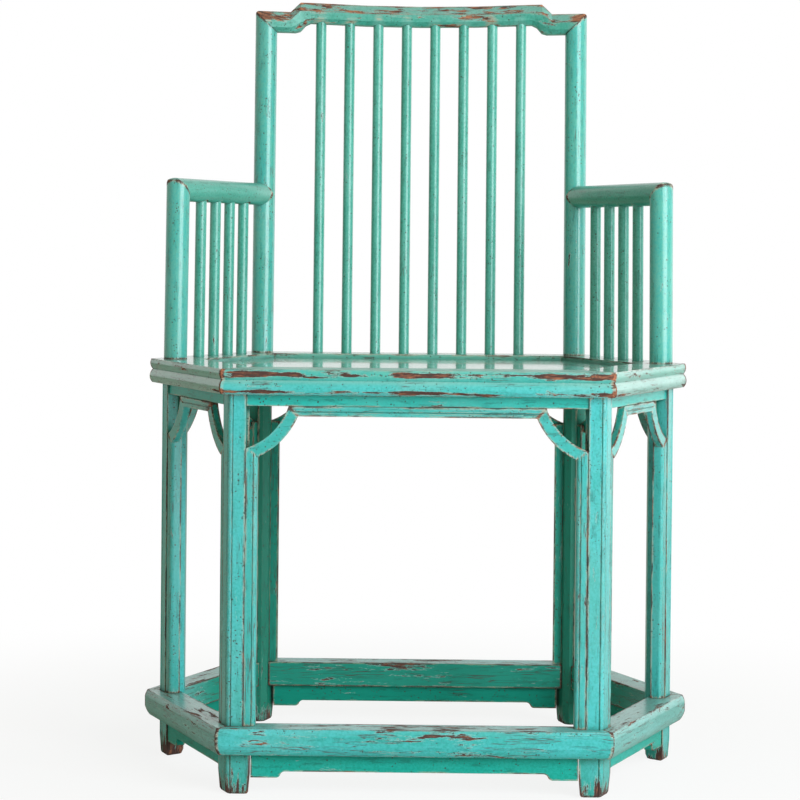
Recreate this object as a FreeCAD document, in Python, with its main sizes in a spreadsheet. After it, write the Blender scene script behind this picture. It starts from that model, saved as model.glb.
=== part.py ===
import FreeCAD, Part
import math
import os
import Sketcher

# Six-legged comb-back armchair, in millimetres.
# The chair faces -Y and stands on Z = 0, and the origin is the middle of its floor print.
doc = FreeCAD.newDocument("comb_back_armchair")

# Driving sizes: name, value, what it measures
SIZES = [
    ("front_span", 418.5, "between the axes of the two front legs, and of the two back legs"),
    ("side_span", 609, "between the axes of the two side legs"),
    ("leg_depth", 432, "between the front and the back leg axes"),
    ("foot_spread", 2.4, "how far each side foot stands outside its post"),
    ("seat_height", 500, "floor to the top of the seat frame"),
    ("clearance", 0.25, "between a piece and the joint that takes it"),
    ("leg_offset", 14.6, "leg axis to its outer faces"),
    ("leg_face", 28, "sharp corner of a leg to its side, along a face"),
    ("leg_draw", 7.5, "side of a leg, drawn in at its inner face"),
    ("front_leg_thick", 30, "front and back legs, sharp corner to the inner face"),
    ("side_leg_thick", 31, "side legs, sharp corner to the inner face"),
    ("corner_bead", 3.6, "bead on the leg corner, along each face"),
    ("corner_radius", 4.5, "radius of that bead"),
    ("groove_width", 1.5, "incised line beside a bead"),
    ("groove_depth", 1, "depth of an incised line"),
    ("rebate_width", 8.5, "rebate along the leg that takes the liner and the aprons"),
    ("foot_round", 3.5, "rounding of a foot at the floor"),
    ("foot_taper", 1.8, "foot drawn in at the floor by its taper"),
    ("foot_height", 26, "floor to the start of that taper"),
    ("overcut", 1, "how far a cut runs past the wood"),
    ("post_diameter", 29, "round posts above the seat"),
    ("neck_diameter", 20, "neck of a leg where it goes through the seat frame"),
    ("blind_cover", 8, "seat frame left above the tenon of a front leg"),
    ("post_tenon", 10, "side of the square tenon on top of a post, in the mitre"),
    ("post_tenon_rise", 8, "reach of that tenon above the crossing of the axes"),
    ("seat_rail_height", 29.5, "thickness of the seat frame"),
    ("seat_rail_width", 58, "width of a seat rail on top"),
    ("seat_overhang", 15, "seat edge outside the leg faces"),
    ("upper_bead_height", 12.8, "upper moulding of the seat edge"),
    ("seat_edge_ease", 2, "seat top, drawn in at its edge"),
    ("quirk_depth", 3.6, "line between the two mouldings of the seat edge"),
    ("lower_bead_inset", 3, "lower moulding, drawn in at the underside"),
    ("upper_bead_radius", 11.4, "upper moulding"),
    ("lower_bead_radius", 12.2, "lower moulding"),
    ("panel_sink", 6, "seat panel below the frame top"),
    ("panel_thick", 11, "seat panel"),
    ("panel_tongue", 6, "tongue of the panel in the frame"),
    ("tongue_thick", 5, "tongue of the panel"),
    ("tongue_drop", 4, "panel top to the tongue"),
    ("batten_offset", 105, "middle line of the seat to a batten"),
    ("batten_width", 34, "batten under the panel"),
    ("batten_depth", 11, "batten under the panel"),
    ("batten_tenon", 9, "batten end in the frame"),
    ("apron_height", 14, "apron under the seat frame"),
    ("apron_setback", 2.5, "apron behind the leg faces"),
    ("liner_setback", 1, "liner behind the leg faces"),
    ("liner_depth", 14, "liner, front to back"),
    ("stile_width", 13.8, "upright of the liner"),
    ("head_height", 11.5, "head of the liner"),
    ("brace_reach", 49, "corner to the inner edge of a brace"),
    ("brace_radius", 76.8, "inner edge of a brace"),
    ("brace_width", 14.4, "brace"),
    ("brace_thick", 9, "brace and head, front to back"),
    ("liner_bead", 4.5, "bead along the opening of the liner"),
    ("base_bottom", 49, "floor to the base ring"),
    ("base_height", 32, "base ring"),
    ("base_projection", 17.5, "base ring outside the leg faces"),
    ("base_inset", 20, "base ring inside the leg faces"),
    ("base_top_ease", 3, "crowned face of the base ring, drawn in at the top"),
    ("base_low_ease", 5.6, "crowned face of the base ring, drawn in at the bottom"),
    ("base_crown", 29, "radius of the crowned face"),
    ("skirt_setback", 1.5, "skirt under the base ring, behind the leg faces"),
    ("skirt_thick", 11, "skirt"),
    ("skirt_gap", 0.5, "side of a foot to the end of a skirt"),
    ("skirt_depth", 21, "front and back skirts at mid length"),
    ("side_skirt_depth", 18.5, "side skirts at mid length"),
    ("skirt_low", 28.5, "skirt beside the feet"),
    ("skirt_flat", 29.5, "end of a skirt to its step"),
    ("skirt_step", 11, "run of that step"),
    ("skirt_sweep", 7, "curve of a side skirt down to the front or back foot"),
    ("skirt_tongue", 5, "tongue of a skirt, in the base ring"),
    ("tongue_width", 4, "tongue of a skirt, front to back"),
    ("arm_top", 726, "floor to the top of the arms"),
    ("arm_lean", 2.8, "arm post drawn in at the top"),
    ("arm_corner", 8, "rounding of the mitred corner of an arm"),
    ("arm_tenon", 10, "side of the square tenon of the arm in the back post"),
    ("arm_tenon_length", 11, "reach of that tenon, from the post face"),
    ("crest_end_top", 957, "floor to the top of the crest ends"),
    ("crest_section", 28.5, "crest, top to bottom"),
    ("crest_depth", 28, "crest, front to back"),
    ("crest_corner", 5, "rounding of the mitred corner of the crest"),
    ("crest_arris", 12.5, "top of the crest to the arris along its front"),
    ("crest_rise", 13, "raised middle of the crest above its ends"),
    ("crest_dip", 2.5, "sag of the crest at its middle"),
    ("crest_bow", 30, "backward bow of the crest"),
    ("crest_ear", 32, "post axis to the step on top of the crest"),
    ("crest_ramp", 13, "run of that step"),
    ("notch_lead", 10, "post axis side of the step to the notch below the crest"),
    ("notch_run", 17, "run of that notch"),
    ("back_lean", 25, "back post leaning back at the crest"),
    ("back_draw", 1.6, "back post drawn in at the crest"),
    ("spindle_diameter", 14, "spindles of the back and the arms"),
    ("spindle_pitch", 38.5, "between spindles"),
    ("spindle_socket", 12, "spindle end in the seat frame"),
]

# Sizes that follow from the driving ones
DERIVED = [
    ("leg_x", "=sizes.front_span / 2"),
    ("side_x", "=sizes.side_span / 2"),
    ("leg_y", "=sizes.leg_depth / 2"),
    ("turn", "=atan(leg_y / (side_x - leg_x))"),
    ("front_half", "=90 deg - turn / 2"),
    ("front_edge", "=sizes.front_span"),
    ("side_edge", "=sqrt((side_x - leg_x)^2 + leg_y^2)"),
    ("side_apothem", "=leg_x * sin(turn) + leg_y * cos(turn)"),
    ("spread", "=sizes.foot_spread / side_x"),
    ("seat_under", "=sizes.seat_height - sizes.seat_rail_height"),
    ("base_top", "=sizes.base_bottom + sizes.base_height"),
    ("base_growth", "=1 + spread * (1 - (sizes.base_bottom + base_top) / 2 / seat_under)"),
    ("skirt_growth", "=1 + spread * (1 - (sizes.base_bottom - sizes.skirt_low / 2) / seat_under)"),
    ("apron_under", "=seat_under - sizes.apron_height"),
    ("seat_out", "=sizes.leg_offset + sizes.seat_overhang"),
    ("seat_in", "=sizes.seat_rail_width - seat_out"),
    ("post_radius", "=sizes.post_diameter / 2"),
    ("arm_z", "=sizes.arm_top - post_radius"),
    ("crest_z", "=sizes.crest_end_top - sizes.crest_section / 2"),
    ("crest_x", "=leg_x - sizes.back_draw"),
    ("lean_share", "=(arm_z - sizes.seat_height) / (crest_z - sizes.seat_height)"),
    ("arm_run", "=side_x - leg_x - sizes.arm_lean + sizes.back_draw * lean_share"),
    ("arm_back", "=leg_y + sizes.back_lean * lean_share"),
    ("arm_length", "=sqrt(arm_run^2 + arm_back^2)"),
    ("arm_turn", "=atan(arm_back / arm_run)"),
    ("front_reach", "=leg_y * base_growth + sizes.leg_offset + sizes.base_projection"),
    ("back_reach", "=leg_y + sizes.back_lean + sizes.crest_bow + sizes.crest_depth / 2"),
    ("ring_y", "=(front_reach - back_reach) / 2"),
    ("rebate_depth", "=sizes.liner_setback + sizes.liner_depth + sizes.clearance"),
    ("brace_centre", "=(sqrt(2 * sizes.brace_radius^2 - sizes.brace_reach^2) - sizes.brace_reach) / 2"),
    ("brace_outer", "=sizes.brace_radius + sizes.brace_width"),
    ("brace_foot", "=sqrt(brace_outer^2 - (brace_centre + sizes.stile_width)^2) - brace_centre"),
    ("brace_top", "=sqrt(brace_outer^2 - (brace_centre + sizes.head_height)^2) - brace_centre"),
    ("panel_top", "=sizes.seat_height - sizes.panel_sink"),
    ("face_end", "=sizes.leg_face - sizes.rebate_width"),
]


def fill_sheet(name, rows):
    """Makes a sheet of named cells."""
    table = doc.addObject("Spreadsheet::Sheet", name)
    for number, row in enumerate(rows, start=1):
        table.set(f"A{number}", row[0])
        table.set(f"B{number}", str(row[1]))
        table.setAlias(f"B{number}", row[0])
        if len(row) > 2:
            table.set(f"C{number}", row[2])
    doc.recompute()
    return table


sizes = fill_sheet("sizes", SIZES)
form = fill_sheet("form", DERIVED)


def number(expression):
    """Value of an expression on the two sheets."""
    value = form.evalExpression(expression)
    return float(getattr(value, "Value", value))


def bind(item, **expressions):
    """Ties properties of a feature to expressions."""
    for path, expression in expressions.items():
        item.setExpression(path, expression)


def aim(item, direction):
    """Gives a pad or pocket a slanted direction, with its length still upright."""
    item.UseCustomVector = True
    item.AlongSketchNormal = True
    for axis, expression in zip("xyz", direction):
        item.setExpression(f"Direction.{axis}", expression)


def new_body(name, place=("0", "0", "0"), angle="0 deg"):
    """A body at a place in the chair's frame, turned about Z."""
    body = doc.addObject("PartDesign::Body", name)
    body.Placement.Rotation = FreeCAD.Rotation(FreeCAD.Vector(0, 0, 1), 10)
    for axis, expression in zip("xyz", place):
        body.setExpression(f".Placement.Base.{axis}", expression)
    body.setExpression(".Placement.Rotation.Angle", angle)
    return body


def origin_plane(body, role):
    """One of the three planes of a body's origin."""
    return [item for item in body.Origin.OriginFeatures if item.Role == role][0]


def sketch_on(body, plane, offset=("0", "0", "0"), angle=None):
    """An empty sketch on an origin plane of the body, moved in the plane's own axes."""
    sketch = body.newObject("Sketcher::SketchObject", body.Name + "_outline")
    sketch.AttachmentSupport = [(origin_plane(body, plane), "")]
    sketch.MapMode = "FlatFace"
    if angle:
        sketch.AttachmentOffset.Rotation = FreeCAD.Rotation(FreeCAD.Vector(0, 1, 0), 10)
        sketch.setExpression(".AttachmentOffset.Rotation.Angle", angle)
    for axis, expression in zip("xyz", offset):
        sketch.setExpression(f".AttachmentOffset.Base.{axis}", expression)
    return sketch


def arc_between(start, end, radius, side):
    """Arc from start to end whose centre lies to the left (side 1) or right (side -1)."""
    chord = end - start
    height = math.sqrt(radius ** 2 - (chord.Length / 2) ** 2)
    across = FreeCAD.Vector(-chord.y, chord.x, 0).normalize()
    centre = (start + end) / 2 + across * height * side
    first, last = (start, end) if side > 0 else (end, start)
    angles = [math.atan2(point.y - centre.y, point.x - centre.x) for point in (first, last)]
    circle = Part.Circle(centre, FreeCAD.Vector(0, 0, 1), radius)
    return Part.ArcOfCircle(circle, angles[0], angles[1])


def add_loop(sketch, points):
    """Closed outline: each point is x, y and, where an arc leaves it, a radius and a side."""
    places = [FreeCAD.Vector(number(point[0]), number(point[1]), 0) for point in points]
    first = sketch.GeometryCount
    count = len(points)
    starts = []
    ends = []
    for index, point in enumerate(points):
        start = places[index]
        end = places[(index + 1) % count]
        if len(point) > 2:
            sketch.addGeometry(arc_between(start, end, number(point[2]), point[3]), False)
        else:
            sketch.addGeometry(Part.LineSegment(start, end), False)
        turned = len(point) > 2 and point[3] < 0
        starts.append(2 if turned else 1)
        ends.append(1 if turned else 2)
    for index, point in enumerate(points):
        edge = first + index
        following = (index + 1) % count
        sketch.addConstraint(
            Sketcher.Constraint("Coincident", edge, ends[index], first + following, starts[following])
        )
        for kind, value, expression in (
            ("DistanceX", places[index].x, point[0]),
            ("DistanceY", places[index].y, point[1]),
        ):
            mark = sketch.addConstraint(
                Sketcher.Constraint(kind, -1, 1, edge, starts[index], value)
            )
            sketch.setExpression(f"Constraints[{mark}]", expression)
        if len(point) > 2:
            mark = sketch.addConstraint(Sketcher.Constraint("Radius", edge, number(point[2])))
            sketch.setExpression(f"Constraints[{mark}]", point[2])


def outline(body, plane, loops, offset=("0", "0", "0"), angle=None):
    """Sketch of closed outlines."""
    sketch = sketch_on(body, plane, offset, angle)
    for points in loops:
        add_loop(sketch, points)
    return sketch


def discs(body, plane, circles, offset=("0", "0", "0")):
    """Sketch of circles given by x, y and radius."""
    sketch = sketch_on(body, plane, offset)
    for x, y, radius in circles:
        centre = FreeCAD.Vector(number(x), number(y), 0)
        circle = Part.Circle(centre, FreeCAD.Vector(0, 0, 1), number(radius))
        edge = sketch.addGeometry(circle, False)
        for kind, value, expression in (("DistanceX", centre.x, x), ("DistanceY", centre.y, y)):
            mark = sketch.addConstraint(Sketcher.Constraint(kind, -1, 1, edge, 3, value))
            sketch.setExpression(f"Constraints[{mark}]", expression)
        mark = sketch.addConstraint(Sketcher.Constraint("Radius", edge, number(radius)))
        sketch.setExpression(f"Constraints[{mark}]", radius)
    return sketch


def pad(body, sketch, length, direction=None, both_ways=False, reverse=False):
    """Adds the sketch to the body as a prism."""
    feature = body.newObject("PartDesign::Pad", body.Name + "_pad")
    feature.Profile = sketch
    feature.Reversed = reverse
    if both_ways:
        feature.SideType = "Symmetric"
    bind(feature, Length=length)
    if direction:
        aim(feature, direction)
    return feature


def pocket(body, sketch, length, direction=None, both_ways=False, reverse=False):
    """Cuts the sketch out of the body, and makes sure that something was cut."""
    doc.recompute()
    before = body.Shape.Volume
    feature = body.newObject("PartDesign::Pocket", body.Name + "_pocket")
    feature.Profile = sketch
    feature.Reversed = reverse
    if both_ways:
        feature.SideType = "Symmetric"
    bind(feature, Length=length)
    if direction:
        aim(feature, direction)
    doc.recompute()
    if body.Shape.Volume > before - 1e-3:
        raise RuntimeError(f"{feature.Name} in {body.Name} cuts nothing")
    return feature


def loft(body, sections):
    """Adds a ruled loft through sketches to the body."""
    feature = body.newObject("PartDesign::AdditiveLoft", body.Name + "_loft")
    feature.Profile = sections[0]
    feature.Sections = sections[1:]
    feature.Ruled = True
    doc.recompute()
    return feature


def boolean(kind, name, base, tools):
    """Cut or fusion of one object with others."""
    tool = tools[0]
    if len(tools) > 1:
        tool = doc.addObject("Part::Compound", name + "_tools")
        tool.Links = tools
    result = doc.addObject("Part::" + kind, name)
    result.Base = base
    result.Tool = tool
    return result


def mirrored(name, source, axis):
    """Copy of a piece across the middle of the chair, along X or Y."""
    copy = doc.addObject("Part::Mirroring", name)
    copy.Source = source
    copy.Normal = FreeCAD.Vector(1, 0, 0) if axis == "x" else FreeCAD.Vector(0, 1, 0)
    copy.setExpression(".Base.y", "form.ring_y")
    return copy


def grouped(name, members):
    """Separate solids of one set."""
    group = doc.addObject("Part::Compound", name)
    group.Links = members
    return group


def axis_between(start, end, before):
    """Length between two points, and the placement of an axis that starts a little before the first."""
    run = [f"(({b}) - ({a}))" for a, b in zip(start, end)]
    length = f"sqrt({run[0]}^2 + {run[1]}^2 + {run[2]}^2)"
    turn = f"rotation(vector(-{run[1]}; {run[0]}; 0); acos({run[2]} / {length}))"
    back = f"placement(vector(0; 0; -({before})); rotation(vector(0; 0; 1); 0))"
    return length, f"placement(vector({start[0]}; {start[1]}; {start[2]}); {turn}) * {back}"


def rod(name, start, end, radius, before="0", after="0"):
    """Round bar between two points, lengthened at either end."""
    length, place = axis_between(start, end, before)
    bar = doc.addObject("Part::Cylinder", name)
    bind(bar, Radius=radius, Height=f"{length} + {before} + {after}", Placement=place)
    return bar


pieces = {}


def keep(name, item):
    """Enters a finished piece under the name of its file."""
    item.Label = name
    pieces[name] = item
    return item


def keep_pair(left_name, item):
    """Enters a left piece and its copy on the right."""
    keep(left_name, item)
    right_name = left_name.replace("left", "right")
    keep(right_name, mirrored(right_name, item, "x"))


def rounded_corner(x, top, radius, side=-1):
    """Wood cut off outside a rounded upper corner, at the left (side -1) or right end of a rail."""
    far = f"{x} + {side} * sizes.overcut"
    high = f"{top} + sizes.overcut"
    inner = f"{x} - ({side}) * {radius}"
    return [(x, f"{top} - {radius}", radius, side), (inner, top), (inner, high), (far, high),
            (far, f"{top} - {radius}")]


def mitre_tenon(x, z, growth="0"):
    """Square tenon across a mitre, seen from the front, with room round it."""
    half = f"(sizes.post_tenon / 2 + {growth})"
    low = f"{z} - sizes.post_tenon"
    high = f"{z} + sizes.post_tenon_rise + {growth}"
    return [(f"{x} - {half}", low), (f"{x} + {half}", low), (f"{x} + {half}", high), (f"{x} - {half}", high)]


MORTISE_WIDTH = "sizes.post_tenon + 2 * sizes.clearance"


class Edge:
    """One side of the leg ring: local X runs along it, local Y points inwards."""

    def __init__(self, name, middle, angle, length, apothem, first_half, last_half):
        self.name = name
        self.middle = middle
        self.angle = angle
        self.length = length
        self.apothem = apothem
        self.halves = {-1: first_half, 1: last_half}

    def body(self, label, height, growth="1"):
        """A body at mid length of the edge, on the ring grown for the splay of the legs."""
        x, y = self.middle
        place = (f"({x}) * {growth}", f"form.ring_y + ({y}) * {growth}", height)
        return new_body(f"{self.name}_{label}", place, self.angle)

    def mitre(self, end, depth, growth="1"):
        """X of the mitre line at a depth inside the ring line."""
        half = self.halves[end]
        return f"{end} * ({self.length} * {growth} / 2 - ({depth}) / tan({half}) - sizes.clearance / 2)"

    def face(self, end, along, growth="1"):
        """X of a point on the leg face, by its distance from the sharp corner of the leg."""
        corner = f"{self.length} * {growth} / 2 + sizes.leg_offset / tan({self.halves[end]})"
        return f"{end} * ({corner} - ({along}))"

    def plan(self, outer, inner, growth="1"):
        """Mitred strip between two depths."""
        return [
            (self.mitre(-1, outer, growth), outer),
            (self.mitre(1, outer, growth), outer),
            (self.mitre(1, inner, growth), inner),
            (self.mitre(-1, inner, growth), inner),
        ]


MIDDLE_X = "(form.leg_x + form.side_x) / 2"
FRONT = Edge("front", ("0", "-form.leg_y"), "0 deg", "form.front_edge", "form.leg_y",
             "form.front_half", "form.front_half")
BACK = Edge("back", ("0", "form.leg_y"), "180 deg", "form.front_edge", "form.leg_y",
            "form.front_half", "form.front_half")
LEFT_FRONT = Edge("left_front", ("-" + MIDDLE_X, "-form.leg_y / 2"), "-form.turn", "form.side_edge",
                  "form.side_apothem", "form.turn", "form.front_half")
LEFT_BACK = Edge("left_back", ("-" + MIDDLE_X, "form.leg_y / 2"), "180 deg + form.turn",
                 "form.side_edge", "form.side_apothem", "form.front_half", "form.turn")


# Rounding of a foot: share of its height, and share by which the foot is drawn in there
FOOT_RINGS = [("0", "1"), ("0.3", "0.286"), ("1", "0")]
FOOT_TOP = "sizes.foot_height"


LEG_INNER = "(sizes.leg_face - sizes.leg_draw)"


class Leg:
    """Leg on the left side, in a frame on its axis whose Y points inwards along the corner's bisector."""

    def __init__(self, name, x, y, half, thick, angle):
        self.name = name
        self.half = half
        self.thick = thick
        self.angle = angle
        self.place = (x, f"form.ring_y + {y}", "0")
        self.spread_x = f"form.spread * (({x}) * cos({angle}) + ({y}) * sin({angle}))"
        self.spread_y = f"form.spread * (({y}) * cos({angle}) - ({x}) * sin({angle}))"
        self.upward = (f"-({self.spread_x})", f"-({self.spread_y})", "form.seat_under")

    def point(self, along, inward, side, height="0", share="1"):
        """Plan point by its distance along a face and behind it, on the leg as it leans."""
        splay = f"(1 - ({height}) / form.seat_under)"
        x = f"{side} * (({along}) * sin({self.half}) - ({inward}) * cos({self.half}))"
        y = (f"(({along}) * cos({self.half}) + ({inward}) * sin({self.half})"
             f" - sizes.leg_offset / sin({self.half}))")
        return (f"{x} * {share} + {self.spread_x} * {splay}", f"{y} * {share} + {self.spread_y} * {splay}")

    def section(self, shrink="0", height="0"):
        """Outline of the leg with a beaded corner, drawn in all round by a little."""
        share = f"(1 - ({shrink}) / sizes.leg_offset)"
        inner = f"({self.thick} - {LEG_INNER} * cos({self.half})) / sin({self.half})"
        right = [
            ("sizes.corner_bead", "0"),
            ("sizes.corner_bead + sizes.groove_width / 2", "sizes.groove_depth"),
            ("sizes.corner_bead + sizes.groove_width", "0"),
            ("sizes.leg_face", "0"),
            (LEG_INNER, inner),
        ]
        points = [self.point(along, inward, 1, height, share) for along, inward in right]
        points += [self.point(along, inward, -1, height, share) for along, inward in reversed(right)]
        points[-1] += (f"sizes.corner_radius * {share}", 1)
        return points

    def strip(self, along, inward, height):
        """The same four-cornered recess on both faces, at a height on the leaning leg."""
        loops = []
        for side in (1, -1):
            corners = [(along[0], inward[0]), (along[1], inward[0]), (along[1], inward[1]),
                       (along[0], inward[1])]
            loops.append([self.point(a, b, side, height) for a, b in corners])
        return loops

    def lower_part(self, neck):
        """Leg up to the seat with its rounded foot and neck, rebated above the base for the liners."""
        body = new_body(self.name, self.place, self.angle)
        rings = []
        for rise, shrink in FOOT_RINGS:
            height = f"sizes.foot_round * {rise}"
            taper = f"sizes.foot_taper * (1 - {height} / {FOOT_TOP})"
            ring = self.section(f"sizes.foot_round * {shrink} + {taper}", height)
            rings.append(outline(body, "XY_Plane", [ring], ("0", "0", height)))
        rings.append(outline(body, "XY_Plane", [self.section("0", FOOT_TOP)], ("0", "0", FOOT_TOP)))
        loft(body, rings)
        shaft = outline(body, "XY_Plane", [self.section("0", FOOT_TOP)], ("0", "0", FOOT_TOP))
        pad(body, shaft, f"form.seat_under - {FOOT_TOP}", self.upward)
        neck_disc = discs(body, "XY_Plane", [("0", "0", "sizes.neck_diameter / 2")],
                          ("0", "0", "form.seat_under"))
        pad(body, neck_disc, neck)
        rebates = self.strip(("form.face_end", "sizes.leg_face + sizes.overcut"),
                             ("-sizes.overcut", "form.rebate_depth"), "form.base_top")
        pocket(body, outline(body, "XY_Plane", rebates, ("0", "0", "form.base_top")),
               "form.seat_under - form.base_top", self.upward)
        return body

    def post(self, body, lean_x, lean_y, rise):
        """Round post from the seat up past the crossing of its axis with the rail on top."""
        below = "form.post_radius / 4"
        foot = ("0", "0", "sizes.seat_height")
        length, place = axis_between(foot, (lean_x, lean_y, rise), below)
        column = body.newObject("PartDesign::AdditiveCylinder", self.name + "_post")
        column.AttachmentSupport = [(origin_plane(body, "XY_Plane"), "")]
        column.MapMode = "FlatFace"
        bind(column, Radius="form.post_radius", Height=f"{length} + sizes.post_diameter",
             AttachmentOffset=place)
        shoulder = discs(body, "XY_Plane", [("0", "0", "sizes.neck_diameter / 2"),
                                            ("0", "0", "sizes.post_diameter")], foot)
        pocket(body, shoulder, "sizes.seat_rail_height")

    def mitred_top(self, body, lean_x, lean_y, rise, heading, top, rounding):
        """Mitre at the top of the post, towards a rail that heads off level, and the tenon in it."""
        size = "sizes.post_diameter"
        corner = [(f"-{size}", f"{rise} + {size} - sizes.clearance"),
                  (size, f"{rise} - {size} - sizes.clearance"), (size, f"{rise} + {size}")]
        axis = (lean_x, "0", f"-({lean_y})")
        for cut in (corner, rounded_corner("-form.post_radius", top, rounding)):
            pocket(body, outline(body, "XZ_Plane", [cut], axis, heading), f"3 * {size}", both_ways=True)
        tenon = outline(body, "XZ_Plane", [mitre_tenon("0", rise)], axis, heading)
        pad(body, tenon, "sizes.post_tenon", both_ways=True)


front_leg = Leg("front_left_leg", "-form.leg_x", "(-form.leg_y)", "form.front_half",
                "sizes.front_leg_thick", "(form.front_half - 90 deg)")
side_leg = Leg("left_side_leg", "-form.side_x", "0", "form.turn",
               "sizes.side_leg_thick", "(-90 deg)")
back_leg = Leg("back_left_leg_blank", "-form.leg_x", "form.leg_y", "form.front_half",
               "sizes.front_leg_thick", "(-form.front_half - 90 deg)")

# Back spindles, as rods between the seat rail and the middle of the crest
def crest_place(x):
    """Centre of the raised crest at a distance from the middle."""
    share = f"(1 - (({x}) / form.crest_x)^2)"
    y = f"form.ring_y + form.leg_y + sizes.back_lean + sizes.crest_bow * {share}"
    z = (f"sizes.crest_end_top + sizes.crest_rise - sizes.crest_dip * {share}"
         " - sizes.crest_section / 2")
    return (x, y, z)


def spindle(name, foot, head):
    """A spindle from its socket in the seat to its socket above, and the bore for it."""
    bar = rod(name, foot, head, "sizes.spindle_diameter / 2", "sizes.spindle_socket")
    bore = rod(name + "_bore", foot, head, "sizes.spindle_diameter / 2 + sizes.clearance",
               "sizes.spindle_socket + sizes.clearance", "sizes.clearance")
    return bar, bore


BACK_SPINDLES = 8
ARM_SPINDLES = 4

back_bores = []
for index in range(BACK_SPINDLES // 2):
    across = f"-{index + 0.5} * sizes.spindle_pitch"
    foot = (across, "form.ring_y + form.leg_y", "sizes.seat_height")
    left_number = BACK_SPINDLES // 2 - index
    right_number = BACK_SPINDLES // 2 + index + 1
    bar, bore = spindle(f"back_spindle_{left_number}", foot, crest_place(across))
    keep(bar.Name, bar)
    right_name = f"back_spindle_{right_number}"
    keep(right_name, mirrored(right_name, bar, "x"))
    back_bores += [bore, mirrored(right_name + "_bore", bore, "x")]

# Arm spindles, as rods between the side rail of the seat and the arm
arm_bores = []
for index in range(ARM_SPINDLES):
    along = f"{index - (ARM_SPINDLES - 1) / 2} * sizes.spindle_pitch"
    low_share = f"(1 / 2 + {along} / form.side_edge)"
    foot = (f"-form.side_x + (form.side_x - form.leg_x) * {low_share}",
            f"form.ring_y + form.leg_y * {low_share}", "sizes.seat_height")
    head = (f"-form.side_x + sizes.arm_lean + form.arm_run * {low_share}",
            f"form.ring_y + form.arm_back * {low_share}", "form.arm_z")
    bar, bore = spindle(f"left_arm_spindle_{index + 1}", foot, head)
    arm_bores.append(bore)
    keep_pair(bar.Name, bar)

# Legs
keep_pair("front_left_leg", front_leg.lower_part("sizes.seat_rail_height - sizes.blind_cover"))

side_body = side_leg.lower_part("sizes.seat_rail_height")
side_leg.post(side_body, "0", "sizes.arm_lean", "form.arm_z")
side_leg.mitred_top(side_body, "0", "sizes.arm_lean", "form.arm_z", "form.arm_turn + 90 deg",
                    "sizes.arm_top", "sizes.arm_corner")
keep_pair("left_side_leg", side_body)

back_body = back_leg.lower_part("sizes.seat_rail_height")
LEAN_X = "(-sizes.back_draw * sin(form.front_half) - sizes.back_lean * cos(form.front_half))"
LEAN_Y = "(sizes.back_draw * cos(form.front_half) - sizes.back_lean * sin(form.front_half))"
back_leg.post(back_body, LEAN_X, LEAN_Y, "form.crest_z")
back_leg.mitred_top(back_body, LEAN_X, LEAN_Y, "form.crest_z", "form.front_half + 90 deg",
                    "sizes.crest_end_top", "sizes.crest_corner")

# Arm: a round rail, mitred to the arm post and saddled on the back post, with a tenon in it
arm_start = ("-form.side_x + sizes.arm_lean", "form.ring_y", "form.arm_z")
arm_body = new_body("left_arm_rail_blank", arm_start, "form.arm_turn")
arm_disc = discs(arm_body, "YZ_Plane", [("0", "0", "form.post_radius")],
                 ("0", "0", "-form.post_radius"))
pad(arm_body, arm_disc, "form.arm_length + form.post_radius")
ARM_CORNER = [("-sizes.post_diameter", "sizes.post_diameter"),
              ("sizes.post_diameter", "-sizes.post_diameter"),
              ("-sizes.post_diameter", "-sizes.post_diameter")]
ARM_TIP = rounded_corner("-form.post_radius", "form.post_radius", "sizes.arm_corner")
for arm_cut in (ARM_CORNER, ARM_TIP):
    pocket(arm_body, outline(arm_body, "XZ_Plane", [arm_cut]), "3 * sizes.post_diameter", both_ways=True)
arm_mortise = outline(arm_body, "XZ_Plane", [mitre_tenon("0", "0", "sizes.clearance")])
pocket(arm_body, arm_mortise, MORTISE_WIDTH, both_ways=True)


def arm_point(along):
    """Point on the arm's axis."""
    return (f"-form.side_x + sizes.arm_lean + ({along}) * cos(form.arm_turn)",
            f"form.ring_y + ({along}) * sin(form.arm_turn)", "form.arm_z")


def post_point(height):
    """Point on the axis of the left back post."""
    share = f"(({height}) - sizes.seat_height) / (form.crest_z - sizes.seat_height)"
    return (f"-form.leg_x + sizes.back_draw * {share}",
            f"form.ring_y + form.leg_y + sizes.back_lean * {share}", height)


post_room = rod("back_post_room", post_point("sizes.seat_height"), post_point("form.crest_z"),
                "form.post_radius + sizes.clearance")
arm_saddle = boolean("Cut", "left_arm_rail_saddle", arm_body, [post_room] + arm_bores)


def arm_tenon(name, growth):
    """Square tenon at the back end of the arm, with room round it."""
    start = "; ".join(arm_point("form.arm_length - sizes.post_diameter"))
    half = f"(sizes.arm_tenon / 2 + {growth})"
    block = doc.addObject("Part::Box", name)
    bind(block, Length=f"form.post_radius + sizes.arm_tenon_length + {growth}", Width=f"2 * {half}",
         Height=f"2 * {half}",
         Placement=f"placement(vector({start}); rotation(vector(0; 0; 1); form.arm_turn))"
                   f" * placement(vector(0; -{half}; -{half}); rotation(vector(0; 0; 1); 0))")
    return block


tenon = arm_tenon("left_arm_tenon", "0")
keep_pair("left_arm_rail", boolean("Fuse", "left_arm_rail", arm_saddle, [tenon]))
mortise = arm_tenon("back_left_leg_mortise", "sizes.clearance")
keep_pair("back_left_leg", boolean("Cut", "back_left_leg", back_body, [mortise]))

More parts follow.
